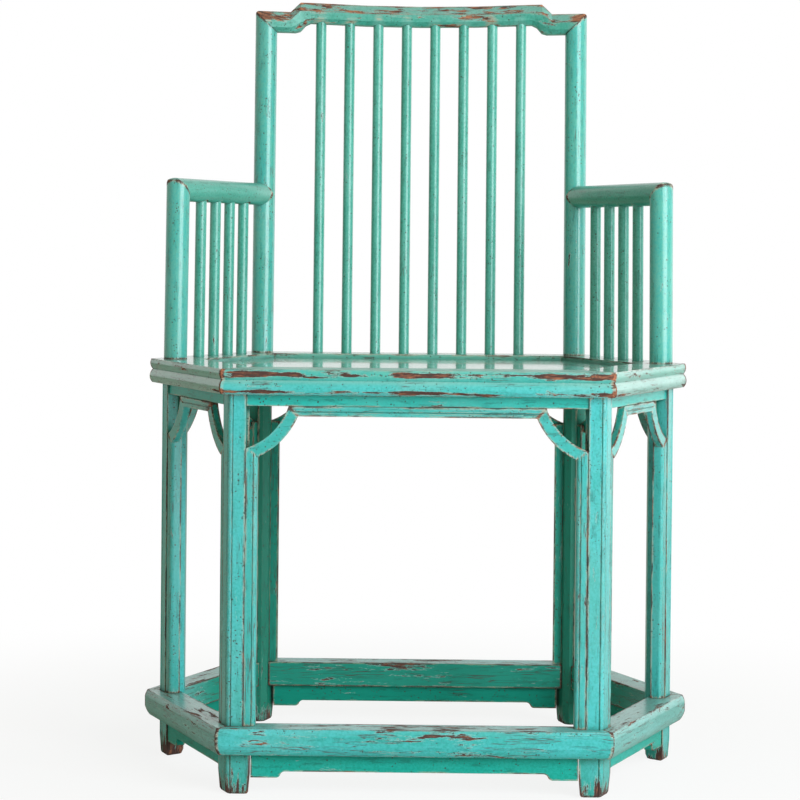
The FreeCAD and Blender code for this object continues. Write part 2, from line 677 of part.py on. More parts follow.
# Seat frame
def seat_rail(edge):
    """Mitred rail with a double-beaded edge, a groove for the panel and holes for the leg necks."""
    body = edge.body("seat_rail_blank", "form.seat_under")
    strip = edge.plan("-form.seat_out", "form.seat_in")
    pad(body, outline(body, "XY_Plane", [strip]), "sizes.seat_rail_height")
    top = "sizes.seat_rail_height"
    waist = "sizes.seat_rail_height - sizes.upper_bead_height"
    far = "-form.seat_out - sizes.quirk_depth"
    moulding = [
        ("-form.seat_out + sizes.seat_edge_ease", top + " + sizes.overcut"),
        ("-form.seat_out + sizes.seat_edge_ease", top, "sizes.upper_bead_radius", 1),
        ("-form.seat_out + sizes.quirk_depth", waist, "sizes.lower_bead_radius", 1),
        ("-form.seat_out + sizes.lower_bead_inset", "0"),
        ("-form.seat_out + sizes.lower_bead_inset", "-sizes.overcut"),
        (far, "-sizes.overcut"),
        (far, top + " + sizes.overcut"),
    ]
    groove_top = f"{top} - sizes.panel_sink - sizes.tongue_drop + sizes.clearance"
    groove_low = f"{groove_top} - sizes.tongue_thick - 2 * sizes.clearance"
    groove_back = "form.seat_in - sizes.panel_tongue - sizes.clearance"
    groove_mouth = "form.seat_in + sizes.overcut"
    groove = [(groove_back, groove_low), (groove_mouth, groove_low),
              (groove_mouth, groove_top), (groove_back, groove_top)]
    pocket(body, outline(body, "YZ_Plane", [moulding, groove]), "2 * form.side_x", both_ways=True)
    return body


def neck_holes(edge, body, end, depth):
    """Hole of a leg's neck in the mitred end of a rail."""
    hole = discs(body, "XY_Plane", [(f"{end} * {edge.length} / 2", "0",
                                     "sizes.neck_diameter / 2 + sizes.clearance")])
    pocket(body, hole, depth, reverse=True)


BLIND = "sizes.seat_rail_height - sizes.blind_cover + sizes.clearance"
THROUGH = "sizes.seat_rail_height + sizes.overcut"


def batten_mortises(body):
    """Mortises for the two battens in the inner face of a front or back rail."""
    width = "(sizes.batten_width / 2 + sizes.clearance)"
    low = "sizes.seat_rail_height - sizes.panel_sink - sizes.panel_thick - sizes.batten_depth"
    loops = []
    for side in (-1, 1):
        middle = f"{side} * sizes.batten_offset"
        back = "form.seat_in - sizes.batten_tenon - sizes.clearance"
        mouth = "form.seat_in + sizes.overcut"
        loops.append([(f"{middle} - {width}", back), (f"{middle} + {width}", back),
                      (f"{middle} + {width}", mouth), (f"{middle} - {width}", mouth)])
    sketch = outline(body, "XY_Plane", loops, ("0", "0", f"{low} - sizes.clearance"))
    pocket(body, sketch, "sizes.batten_depth + 2 * sizes.clearance", reverse=True)


front_rail = seat_rail(FRONT)
neck_holes(FRONT, front_rail, -1, BLIND)
neck_holes(FRONT, front_rail, 1, BLIND)
batten_mortises(front_rail)
keep("front_seat_rail", front_rail)

back_rail = seat_rail(BACK)
neck_holes(BACK, back_rail, -1, THROUGH)
neck_holes(BACK, back_rail, 1, THROUGH)
batten_mortises(back_rail)
keep("back_seat_rail", boolean("Cut", "back_seat_rail", back_rail, back_bores))

left_front_rail = seat_rail(LEFT_FRONT)
neck_holes(LEFT_FRONT, left_front_rail, -1, THROUGH)
neck_holes(LEFT_FRONT, left_front_rail, 1, BLIND)
keep_pair("left_front_seat_rail", left_front_rail)

left_back_rail = seat_rail(LEFT_BACK)
neck_holes(LEFT_BACK, left_back_rail, -1, THROUGH)
neck_holes(LEFT_BACK, left_back_rail, 1, THROUGH)
keep_pair("left_back_seat_rail", boolean("Cut", "left_back_seat_rail", left_back_rail, arm_bores))

# Seat panel with its tongue, and the battens under it
def ring_outline(inset):
    """Hexagon inside the ring line by an inset."""
    front_x = f"(form.leg_x - ({inset}) * tan(form.turn / 2))"
    side_x = f"(form.side_x - ({inset}) / sin(form.turn))"
    deep = f"(form.leg_y - ({inset}))"
    return [(f"-{front_x}", f"-{deep}"), (front_x, f"-{deep}"), (side_x, "0"),
            (front_x, deep), (f"-{front_x}", deep), (f"-{side_x}", "0")]


panel = new_body("seat_panel", ("0", "form.ring_y", "form.panel_top - sizes.panel_thick"))
field = outline(panel, "XY_Plane", [ring_outline("form.seat_in + sizes.clearance")])
pad(panel, field, "sizes.panel_thick")
tongue = outline(panel, "XY_Plane", [ring_outline("form.seat_in - sizes.panel_tongue")],
                 ("0", "0", "sizes.panel_thick - sizes.tongue_drop - sizes.tongue_thick"))
pad(panel, tongue, "sizes.tongue_thick")
keep("seat_panel", panel)

batten = new_body("left_seat_batten", ("-sizes.batten_offset", "form.ring_y",
                                       "form.panel_top - sizes.panel_thick - sizes.batten_depth"))
HALF_BATTEN = "(form.leg_y - form.seat_in + sizes.batten_tenon)"
batten_plan = [("-sizes.batten_width / 2", f"-{HALF_BATTEN}"), ("sizes.batten_width / 2", f"-{HALF_BATTEN}"),
               ("sizes.batten_width / 2", HALF_BATTEN), ("-sizes.batten_width / 2", HALF_BATTEN)]
pad(batten, outline(batten, "XY_Plane", [batten_plan]), "sizes.batten_depth")
keep_pair("left_seat_batten", batten)


# Aprons, liners, base ring and skirts, made for one side and mirrored round the ring
HOUSED = "form.face_end + sizes.clearance"
BEAD_TURNS = (0, 22.5, 45, 67.5, 90)


def behind_face(depth):
    """Local Y of a depth behind the outer leg faces."""
    return f"({depth}) - sizes.leg_offset"


def apron(edge):
    """Straight apron under the seat frame, housed in the rebates of two legs."""
    body = edge.body("apron", "form.apron_under")
    front = behind_face("sizes.apron_setback")
    rear = behind_face("sizes.liner_setback + sizes.liner_depth")
    plan = [(edge.face(-1, HOUSED), front), (edge.face(1, HOUSED), front),
            (edge.face(1, HOUSED), rear), (edge.face(-1, HOUSED), rear)]
    pad(body, outline(body, "XY_Plane", [plan]), "sizes.apron_height")
    return body


def stile(edge, end):
    """Beaded upright of the liner; the brace is mitred to it, and a thin lap goes up behind the brace."""
    body = edge.body(f"liner_stile_{'last' if end > 0 else 'first'}", "0")
    low = "form.base_top + sizes.clearance"
    share = f"(1 - ({low}) / form.seat_under)"
    shift_x = f"{end} * {edge.length} * form.spread / 2"
    shift_y = f"-{edge.apothem} * form.spread"

    def at(along, depth):
        x = edge.face(end, f"{HOUSED} + {along}")
        return (f"{x} + {shift_x} * {share}", f"{behind_face(depth)} + {shift_y} * {share}")

    front = "sizes.liner_setback"
    rear = "sizes.liner_setback + sizes.liner_depth"
    # The bead is planed in flats, so that all faces of the leaning stick stay plane
    bead = [at(f"sizes.stile_width - sizes.liner_bead * (1 - sin({turn} deg))",
               f"{front} + sizes.liner_bead * (1 - cos({turn} deg))") for turn in BEAD_TURNS]
    plan = [
        at("0", front),
        at("sizes.stile_width - sizes.liner_bead - sizes.groove_width", front),
        at("sizes.stile_width - sizes.liner_bead - sizes.groove_width / 2", f"{front} + sizes.groove_depth"),
        *bead,
        at("sizes.stile_width", rear),
        at("0", rear),
    ]
    upward = (f"-({shift_x})", f"-({shift_y})", "form.seat_under")
    pad(body, outline(body, "XY_Plane", [plan], ("0", "0", low)),
        f"form.apron_under - sizes.brace_reach - sizes.clearance - ({low})", upward)
    near = edge.face(end, f"{HOUSED} - sizes.overcut")
    far = edge.face(end, f"{HOUSED} + sizes.stile_width + sizes.overcut")
    slope = "(form.brace_foot - sizes.brace_reach) / sizes.stile_width * sizes.overcut"
    cut = [(near, f"form.apron_under - sizes.brace_reach + {slope} - sizes.clearance"),
           (far, f"form.apron_under - form.brace_foot - {slope} - sizes.clearance"),
           (far, "form.seat_under"), (near, "form.seat_under")]
    ahead = behind_face("sizes.liner_setback - sizes.overcut")
    pocket(body, outline(body, "XZ_Plane", [cut], ("0", "0", f"-({ahead})")),
           "sizes.overcut + sizes.brace_thick + sizes.clearance")
    return body


def brace(edge, end):
    """Curved corner brace between the head and a stile."""
    body = edge.body(f"liner_brace_{'last' if end > 0 else 'first'}", "form.apron_under - sizes.clearance")

    def at(along, drop):
        return (edge.face(end, f"{HOUSED} + {along}"), f"-({drop})")

    head_end = at("form.brace_top", "sizes.head_height")
    stick = [
        at("sizes.brace_reach", "0"),
        head_end + ("form.brace_outer", end),
        at("sizes.stile_width", "form.brace_foot"),
        at("0", "sizes.brace_reach") + ("sizes.brace_radius", -end),
    ]
    face = ("0", "0", f"-({behind_face('sizes.liner_setback')})")
    pad(body, outline(body, "XZ_Plane", [stick], face), "sizes.brace_thick", reverse=True)
    return body


def liner_head(edge):
    """Head of the liner, bevelled between the two braces."""
    body = edge.body("liner_head", "form.apron_under - sizes.clearance")
    top = f"{HOUSED} + sizes.brace_reach + sizes.clearance"
    low = f"{HOUSED} + form.brace_top + sizes.clearance"
    shape = [(edge.face(-1, top), "0"), (edge.face(1, top), "0"),
             (edge.face(1, low), "-sizes.head_height"), (edge.face(-1, low), "-sizes.head_height")]
    face = ("0", "0", f"-({behind_face('sizes.liner_setback')})")
    pad(body, outline(body, "XZ_Plane", [shape], face), "sizes.brace_thick", reverse=True)
    quirk_low = "-(sizes.head_height - sizes.liner_bead)"
    quirk_top = f"{quirk_low} + sizes.groove_width"
    quirk = [(edge.face(-1, "0"), quirk_low), (edge.face(1, "0"), quirk_low),
             (edge.face(1, "0"), quirk_top), (edge.face(-1, "0"), quirk_top)]
    pocket(body, outline(body, "XZ_Plane", [quirk], face), "sizes.groove_depth")
    return body


def liner(edge):
    """The five sticks that frame the opening between two legs."""
    sticks = [liner_head(edge)]
    for end in (-1, 1):
        sticks += [stile(edge, end), brace(edge, end)]
    return grouped(f"{edge.name}_liner", sticks)


SKIRT_END = "(sizes.leg_face + sizes.skirt_gap)"
TONGUE_END = "(sizes.leg_face + 4 * sizes.clearance)"
TONGUE_FRONT = behind_face("sizes.skirt_setback + (sizes.skirt_thick - sizes.tongue_width) / 2")
TONGUE_REAR = behind_face("sizes.skirt_setback + (sizes.skirt_thick + sizes.tongue_width) / 2")


def base_rail(edge, legs):
    """Crowned rail of the base ring, mitred outside the legs and notched round them."""
    growth = "form.base_growth"
    body = edge.body("base_rail", "sizes.base_bottom", growth)
    outer = behind_face("-sizes.base_projection")
    inner = behind_face("sizes.base_inset")
    pad(body, outline(body, "XY_Plane", [edge.plan(outer, inner, growth)]), "sizes.base_height")
    top = "sizes.base_height"
    crown = [
        (f"{outer} + sizes.base_top_ease", top + " + sizes.overcut"),
        (f"{outer} + sizes.base_top_ease", top, "sizes.base_crown", 1),
        (f"{outer} + sizes.base_low_ease", "0"),
        (f"{outer} + sizes.base_low_ease", "-sizes.overcut"),
        (f"{outer} - sizes.base_low_ease", "-sizes.overcut"),
        (f"{outer} - sizes.base_low_ease", top + " + sizes.overcut"),
    ]
    pocket(body, outline(body, "YZ_Plane", [crown]), "2 * form.side_x", both_ways=True)
    notches = []
    room = "2 * sizes.clearance"
    for end in (-1, 1):
        half = edge.halves[end]
        thick = legs[end]
        side_x = edge.face(end, f"sizes.leg_face + {room}", growth)
        draw_x = edge.face(end, f"{LEG_INNER} + {room}", growth)
        back_x = edge.face(end, f"-sizes.base_projection / tan({half}) - sizes.leg_face", growth)
        front = behind_face(f"-({room})")
        rear = behind_face(f"({thick} - {LEG_INNER} * cos({half})) / sin({half}) + {room}")
        notches.append([(side_x, front), (draw_x, rear), (back_x, rear), (back_x, front)])
    pocket(body, outline(body, "XY_Plane", notches), top + " + sizes.overcut", reverse=True)
    groove = [(edge.face(-1, TONGUE_END, growth), TONGUE_FRONT + " - sizes.clearance"),
              (edge.face(1, TONGUE_END, growth), TONGUE_FRONT + " - sizes.clearance"),
              (edge.face(1, TONGUE_END, growth), TONGUE_REAR + " + sizes.clearance"),
              (edge.face(-1, TONGUE_END, growth), TONGUE_REAR + " + sizes.clearance")]
    pocket(body, outline(body, "XY_Plane", [groove]), "sizes.skirt_tongue", reverse=True)
    return body


def skirt(edge, depth, swept):
    """Skirt under the base ring with a tongue on top, stepped or swept down beside the feet."""
    growth = "form.skirt_growth"
    body = edge.body("skirt", "sizes.base_bottom - sizes.clearance", growth)
    drop = f"(sizes.skirt_low - {depth})"
    ogee = f"(sizes.skirt_step^2 + {drop}^2) / 4 / {drop}"

    def end_steps(end):
        """Points of one end from the top to mid length: distance, height, and an arc to the next."""
        if end == swept:
            return [("0", "0"), ("0", f"-({depth} + sizes.skirt_sweep)", "sizes.skirt_sweep", -1),
                    ("sizes.skirt_sweep", f"-{depth}")]
        return [("0", "0"), ("0", "-sizes.skirt_low"),
                ("sizes.skirt_flat", "-sizes.skirt_low", ogee, 1),
                ("sizes.skirt_flat + sizes.skirt_step / 2", f"-({depth} + {drop} / 2)", ogee, -1),
                ("sizes.skirt_flat + sizes.skirt_step", f"-{depth}")]

    def placed(end, step, arc):
        """A point of one end in the plane of the skirt."""
        return (edge.face(end, f"{SKIRT_END} + {step[0]}", growth), step[1]) + arc

    shape = [placed(-1, step, step[2:]) for step in end_steps(-1)]
    last = end_steps(1)
    arcs = [()] + [step[2:] for step in last[:-1]]
    shape += [placed(1, step, arc) for step, arc in reversed(list(zip(last, arcs)))]
    face = ("0", "0", f"-({behind_face('sizes.skirt_setback')})")
    pad(body, outline(body, "XZ_Plane", [shape], face), "sizes.skirt_thick", reverse=True)
    room = f"({TONGUE_END} + sizes.clearance)"
    tongue = [(edge.face(-1, room, growth), TONGUE_FRONT), (edge.face(1, room, growth), TONGUE_FRONT),
              (edge.face(1, room, growth), TONGUE_REAR), (edge.face(-1, room, growth), TONGUE_REAR)]
    pad(body, outline(body, "XY_Plane", [tongue]), "sizes.skirt_tongue")
    return body


FRONT_THICK = "sizes.front_leg_thick"
SIDE_THICK = "sizes.side_leg_thick"
RING_PARTS = {
    "apron": (apron(FRONT), apron(LEFT_FRONT)),
    "liner": (liner(FRONT), liner(LEFT_FRONT)),
    "base_rail": (base_rail(FRONT, {-1: FRONT_THICK, 1: FRONT_THICK}),
                  base_rail(LEFT_FRONT, {-1: SIDE_THICK, 1: FRONT_THICK})),
    "skirt": (skirt(FRONT, "sizes.skirt_depth", None), skirt(LEFT_FRONT, "sizes.side_skirt_depth", 1)),
}
for label, (front_piece, side_piece) in RING_PARTS.items():
    keep(f"front_{label}", front_piece)
    keep(f"back_{label}", mirrored(f"back_{label}", front_piece, "y"))
    keep_pair(f"left_front_{label}", side_piece)
    keep_pair(f"left_back_{label}", mirrored(f"left_back_{label}", side_piece, "y"))

# Crest rail: a loft through sections across it, stepped up from its ends and bowed backwards
crest = new_body("crest_rail_blank", ("0", "form.ring_y + form.leg_y + sizes.back_lean", "0"))


# Facets of the crest: turns from the front arris to the underside, and from there up the back to the ridge
FRONT_TURNS = [0, 35, 65]
BACK_TURNS = [0, 60, 120, 180]


def crest_section(x, top, low):
    """Section of the crest: a bevel from the ridge to the front arris, then a hewn round."""
    share = f"(1 - (({x}) / form.crest_x)^2)"
    middle = f"sizes.crest_bow * {share}"
    half = "sizes.crest_depth / 2"
    arris = f"(({top}) - sizes.crest_arris)"
    points = []
    for turn in FRONT_TURNS:
        points.append((f"{middle} - {half} * cos({turn} deg)",
                       f"{arris} - ({arris} - ({low})) * sin({turn} deg)"))
    for turn in BACK_TURNS:
        points.append((f"{middle} + {half} * sin({turn} deg)",
                       f"(({top}) + ({low})) / 2 - (({top}) - ({low})) / 2 * cos({turn} deg)"))
    return outline(crest, "YZ_Plane", [points], ("0", "0", x))


LOW_TOP = "sizes.crest_end_top"
LOW_UNDER = "(sizes.crest_end_top - sizes.crest_section)"
HIGH_TOP = "(sizes.crest_end_top + sizes.crest_rise)"
HIGH_UNDER = "(sizes.crest_end_top + sizes.crest_rise - sizes.crest_section)"


# Steps of the crest: share of the notch's run, and share of the rise that its underside has made there
NOTCH_STEPS = [("0.2", "0.15"), ("0.6", "0.75"), ("1", "1")]


def crest_stations(side):
    """Sections from the end of the crest to the raised middle."""
    foot = "form.crest_x - sizes.crest_ear"
    stations = [
        (f"{side} * (form.crest_x + form.post_radius)", LOW_TOP, LOW_UNDER),
        (f"{side} * ({foot})", LOW_TOP, LOW_UNDER),
        (f"{side} * ({foot} - sizes.crest_ramp / 2)", f"{LOW_TOP} + sizes.crest_rise / 2", LOW_UNDER),
    ]
    for run, rise in NOTCH_STEPS:
        stations.append((f"{side} * ({foot} - sizes.notch_lead - sizes.notch_run * {run})", HIGH_TOP,
                         f"{LOW_UNDER} + sizes.crest_rise * {rise}"))
    return stations


raised_end = "(form.crest_x - sizes.crest_ear - sizes.notch_lead - sizes.notch_run)"
CREST_SPANS = 4
stations = crest_stations(-1)
for index in range(1, CREST_SPANS):
    x = f"{2 * index / CREST_SPANS - 1} * {raised_end}"
    sag = f"sizes.crest_dip * (1 - (({x}) / {raised_end})^2)"
    stations.append((x, f"{HIGH_TOP} - {sag}", f"{HIGH_UNDER} - {sag}"))
stations += reversed(crest_stations(1))
loft(crest, [crest_section(*station) for station in stations])
crest_corners = []
crest_tips = []
for side in (-1, 1):
    size = "sizes.post_diameter"
    axis = f"{side} * form.crest_x"
    crest_corners.append([(f"{axis} + {side} * {size}", f"form.crest_z + {size}"),
                          (f"{axis} - {side} * {size}", f"form.crest_z - {size}"),
                          (f"{axis} + {side} * {size}", f"form.crest_z - {size}")])
    crest_tips.append(rounded_corner(f"({axis} + {side} * form.post_radius)", LOW_TOP,
                                     "sizes.crest_corner", side))
for crest_cuts in (crest_corners, crest_tips):
    pocket(crest, outline(crest, "XZ_Plane", crest_cuts), "4 * sizes.post_diameter", both_ways=True)
crest_mortises = [mitre_tenon(f"{side} * form.crest_x", "form.crest_z", "sizes.clearance")
                  for side in (-1, 1)]
pocket(crest, outline(crest, "XZ_Plane", crest_mortises), MORTISE_WIDTH, both_ways=True)
keep("crest_rail", boolean("Cut", "crest_rail", crest, back_bores))

# Test every object and write the pieces
doc.recompute()
faults = [item.Label for item in doc.Objects if "Invalid" in item.State or "Error" in item.State]
for name, item in pieces.items():
    if item.Shape.isNull() or not item.Shape.isValid() or not item.Shape.Solids:
        faults.append(name)
if faults:
    raise RuntimeError("failed: " + ", ".join(sorted(set(faults))))
os.makedirs("parts", exist_ok=True)
for name, item in pieces.items():
    item.Shape.exportStep(f"parts/{name}.step")
print(len(pieces), "pieces,", sum(len(item.Shape.Solids) for item in pieces.values()), "solids")
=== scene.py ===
import logging
import math
from dataclasses import dataclass, replace
from enum import Enum
from typing import NamedTuple

import bpy
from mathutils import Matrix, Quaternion, Vector


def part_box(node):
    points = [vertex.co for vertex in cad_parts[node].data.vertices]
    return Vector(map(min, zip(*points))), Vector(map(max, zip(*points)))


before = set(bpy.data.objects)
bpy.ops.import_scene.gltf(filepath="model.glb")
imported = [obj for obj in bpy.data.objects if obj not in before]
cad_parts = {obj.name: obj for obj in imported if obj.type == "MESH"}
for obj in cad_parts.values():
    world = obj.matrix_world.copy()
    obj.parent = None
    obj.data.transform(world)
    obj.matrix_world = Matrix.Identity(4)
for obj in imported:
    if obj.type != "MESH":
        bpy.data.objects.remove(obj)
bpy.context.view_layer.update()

LOG = logging.getLogger("comb_back_armchair")

Colour = tuple[float, float, float]
Point = tuple[float, float, float]
Socket = bpy.types.NodeSocket
Feed = float | tuple | Socket
Sockets = dict[str, Socket]

LONG_EDGES = ("front", "back")
SIDE_EDGES = ("left_front", "left_back", "right_front", "right_back")
EDGES = LONG_EDGES + SIDE_EDGES
SIDES = ("left", "right")

# Curve by which screens show colours.
SHADE_STEPS = 255
CURVE_TOE = 0.04045
CURVE_TOE_SLOPE = 12.92
CURVE_OFFSET = 0.055
CURVE_POWER = 2.4

WHITE = (1.0, 1.0, 1.0)
UPRIGHT_AXIS = (0.0, 0.0, 1.0)
CHAIR_MIDDLE = (0.0, 0.0, 0.5)
NOISE_MIDDLE = 0.5
COVER_SAMPLES = 6
BEVEL_SAMPLES = 4

# Places of the two worn bands, as parts of the height of a seat rail from its top and from its foot.
UPPER_BAND = 1 / 5
LOWER_BAND = 1 / 10

# Slopes that pick the outermost and the topmost corner of a rail among its points.
TIP_SLOPE = 2.0
PEAK_SLOPE = 0.1


def shade(red: int, green: int, blue: int) -> Colour:
    """Turns a colour written in 0 to 255 steps into the linear values that shaders take.

    Args:
        red: red step.
        green: green step.
        blue: blue step.

    Returns:
        The linear colour.
    """
    linear = []
    for step in (red, green, blue):
        shown = step / SHADE_STEPS
        if shown <= CURVE_TOE:
            linear.append(shown / CURVE_TOE_SLOPE)
        else:
            linear.append(((shown + CURVE_OFFSET) / (1 + CURVE_OFFSET)) ** CURVE_POWER)
    return tuple(linear)


def solid(colour: Colour) -> tuple[float, float, float, float]:
    """Adds full opacity to a colour."""
    return (*colour, 1.0)


def ring_middle() -> float:
    """Finds how far back the middle of the leg ring lies, between the two side legs."""
    low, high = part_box("left_side_leg")
    return (low.y + high.y) / 2


class PortKind(Enum):
    """Kinds of sockets that an effect has."""

    VALUE = "NodeSocketFloat"
    COLOUR = "NodeSocketColor"
    VECTOR = "NodeSocketVector"


@dataclass(frozen=True)
class Port:
    """One named socket of an effect."""

    name: str
    kind: PortKind = PortKind.VALUE


class Pattern(NamedTuple):
    """A cloudy pattern: patches to the metre, octaves and the weight of the finer octaves."""

    scale: float
    detail: float = 2.0
    rough: float = 0.5


class Levels(NamedTuple):
    """The level at which a mask is 0 and the level at which it is 1."""

    low: float
    high: float


class NodeSheet:
    """Short calls for placing and linking the nodes of one tree."""

    MIX_SHARE = 0
    MIX_FIRST = 6
    MIX_SECOND = 7
    MIX_RESULT = 2

    def __init__(self, tree: bpy.types.NodeTree) -> None:
        """Keeps the tree that the calls work on."""
        self.tree = tree

    def feed(self, socket: Socket, value: Feed) -> None:
        """Links a socket to another one, or sets its value.

        Args:
            socket: input to fill.
            value: output socket, number, vector or colour.
        """
        if isinstance(value, Socket):
            self.tree.links.new(value, socket)
        else:
            socket.default_value = value

    def node(self, kind: str, inputs: dict[str | int, Feed] | None = None,
             **settings: object) -> bpy.types.Node:
        """Places a node.

        Args:
            kind: type of the node.
            inputs: what goes into its sockets, by name or number.
            settings: its other properties.

        Returns:
            The node.
        """
        made = self.tree.nodes.new(kind)
        for name, value in settings.items():
            setattr(made, name, value)
        for key, value in (inputs or {}).items():
            self.feed(made.inputs[key], value)
        return made

    def math(self, operation: str, first: Feed, second: Feed = 0.0, clamp: bool = False) -> Socket:
        """Joins two numbers.

        Args:
            operation: what is done with them.
            first: left number.
            second: right number.
            clamp: holds the result between 0 and 1.

        Returns:
            The result.
        """
        made = self.node("ShaderNodeMath", {0: first, 1: second}, operation=operation, use_clamp=clamp)
        return made.outputs[0]

    def vector(self, operation: str, first: Feed, second: Feed = (0.0, 0.0, 0.0)) -> Socket:
        """Joins two vectors.

        Args:
            operation: what is done with them.
            first: left vector.
            second: right vector, or the number of a scaling.

        Returns:
            The resulting vector, or the number of a dot product or a length.
        """
        made = self.node("ShaderNodeVectorMath", {0: first}, operation=operation)
        self.feed(made.inputs["Scale"] if operation == "SCALE" else made.inputs[1], second)
        return made.outputs["Value" if operation in ("DOT_PRODUCT", "LENGTH") else "Vector"]

    def axes(self, vector: Feed) -> tuple[Socket, ...]:
        """Splits a vector into its three numbers."""
        return tuple(self.node("ShaderNodeSeparateXYZ", {0: vector}).outputs)

    def ease(self, value: Feed, low: Feed, high: Feed) -> Socket:
        """Rises smoothly from 0 at one level to 1 at another.

        Args:
            value: number that is compared.
            low: level that gives 0.
            high: level that gives 1.

        Returns:
            The mask.
        """
        inputs = {"Value": value, "From Min": low, "From Max": high}
        made = self.node("ShaderNodeMapRange", inputs, interpolation_type="SMOOTHSTEP")
        return made.outputs["Result"]

    def blend(self, share: Feed, first: Feed, second: Feed) -> Socket:
        """Mixes two colours.

        Args:
            share: part of the second colour.
            first: colour at 0.
            second: colour at 1.

        Returns:
            The mixed colour.
        """
        inputs = {self.MIX_SHARE: share, self.MIX_FIRST: first, self.MIX_SECOND: second}
        return self.node("ShaderNodeMix", inputs, data_type="RGBA").outputs[self.MIX_RESULT]

    def noise(self, place: Feed, scale: Feed, detail: float = 2.0, rough: float = 0.5) -> Socket:
        """Cloudy pattern.

        Args:
            place: coordinates.
            scale: patches to the metre.
            detail: octaves.
            rough: weight of the finer octaves.

        Returns:
            A number about 0.5.
        """
        inputs = {"Vector": place, "Scale": scale, "Detail": detail, "Roughness": rough}
        return self.node("ShaderNodeTexNoise", inputs).outputs[0]

    def cover(self, reach: Feed, **settings: object) -> Socket:
        """Looks how open the space in front of a surface is, or behind it.

        Args:
            reach: how far the look goes.
            settings: properties of the look.

        Returns:
            A number, 1 where nothing is near.
        """
        settings["samples"] = COVER_SAMPLES
        return self.node("ShaderNodeAmbientOcclusion", {"Distance": reach}, **settings).outputs["AO"]

    def place(self) -> Socket:
        """Gives the coordinates in the chair's frame."""
        return self.node("ShaderNodeTexCoord").outputs["Object"]

    def facing(self) -> Socket:
        """Gives the way that the surface faces."""
        return self.node("ShaderNodeNewGeometry").outputs["Normal"]


class Effect:
    """A shader node group with named sockets, built once and placed in many materials."""

    title = "effect"
    takes: tuple[Port, ...] = ()
    gives: tuple[Port, ...] = ()

    def draw(self, sheet: NodeSheet, given: Sockets) -> Sockets:
        """Lays out the nodes of the group.

        Args:
            sheet: tree of the group.
            given: its inputs by name.

        Returns:
            Its outputs by name.
        """
        raise NotImplementedError(self.title)

    def tree(self) -> bpy.types.NodeTree:
        """Builds the group, or finds the one that was built before.

        Returns:
            The tree of the group.
        """
        built = bpy.data.node_groups.get(self.title)
        if built:
            return built
        made = bpy.data.node_groups.new(self.title, "ShaderNodeTree")
        for port in self.takes:
            made.interface.new_socket(port.name, in_out="INPUT", socket_type=port.kind.value)
        for port in self.gives:
            made.interface.new_socket(port.name, in_out="OUTPUT", socket_type=port.kind.value)
        sheet = NodeSheet(made)
        entry = sheet.node("NodeGroupInput")
        results = self.draw(sheet, {port.name: entry.outputs[port.name] for port in self.takes})
        sheet.node("NodeGroupOutput", dict(results))
        return made

    def place(self, sheet: NodeSheet, values: dict[str, Feed]) -> bpy.types.bpy_prop_collection:
        """Puts the group into another tree.

        Args:
            sheet: tree that it goes into.
            values: what goes into its sockets, by name.

        Returns:
            Its outputs.
        """
        return sheet.node("ShaderNodeGroup", values, node_tree=self.tree()).outputs


class GrainSpace(Effect):
    """Coordinates drawn out along the grain, shifted so that no two pieces share a pattern."""

    title = "grain_space"
    takes = (Port("Along", PortKind.VECTOR), Port("Stretch"))
    gives = (Port("Grain", PortKind.VECTOR), Port("Place", PortKind.VECTOR))
    SHIFT = (7.1, 3.7, 5.3)

    def draw(self, sheet: NodeSheet, given: Sockets) -> Sockets:
        """Squeezes the coordinates along the grain.

        Args:
            sheet: tree of the group.
            given: its inputs by name.

        Returns:
            The drawn-out and the plain coordinates.
        """
        chance = sheet.node("ShaderNodeObjectInfo").outputs["Random"]
        place = sheet.vector("ADD", sheet.place(), sheet.vector("SCALE", self.SHIFT, chance))
        run = sheet.vector("DOT_PRODUCT", place, given["Along"])
        squeeze = sheet.math("SUBTRACT", sheet.math("DIVIDE", 1.0, given["Stretch"]), 1.0)
        step = sheet.vector("SCALE", given["Along"], sheet.math("MULTIPLY", run, squeeze))
        return {"Grain": sheet.vector("ADD", place, step), "Place": place}


class RubbedEdge(Effect):
    """Finds the arrises of a piece, where hands and cloth rub."""

    title = "rubbed_edge"
    takes = (Port("Reach"),)
    gives = (Port("Edge"),)
    OPEN = 0.9
    SHARP = 0.58

    def draw(self, sheet: NodeSheet, given: Sockets) -> Sockets:
        """Looks for the surface on the far side of a thin edge.

        Args:
            sheet: tree of the group.
            given: its inputs by name.

        Returns:
            The mask, 1 on a sharp edge.
        """
        look = sheet.cover(given["Reach"], inside=True, only_local=True)
        return {"Edge": sheet.ease(look, self.OPEN, self.SHARP)}


class Crevice(Effect):
    """Finds the corners between pieces, where dirt stays and painted shade darkens the paint."""

    title = "crevice"
    takes = (Port("Reach"),)
    gives = (Port("Dirt"),)
    OPEN = 0.72
    SHUT = 0.25

    def draw(self, sheet: NodeSheet, given: Sockets) -> Sockets:
        """Looks for surfaces close in front of this one.

        Args:
            sheet: tree of the group.
            given: its inputs by name.

        Returns:
            The mask, 1 deep in a corner.
        """
        return {"Dirt": sheet.ease(sheet.cover(given["Reach"]), self.OPEN, self.SHUT)}


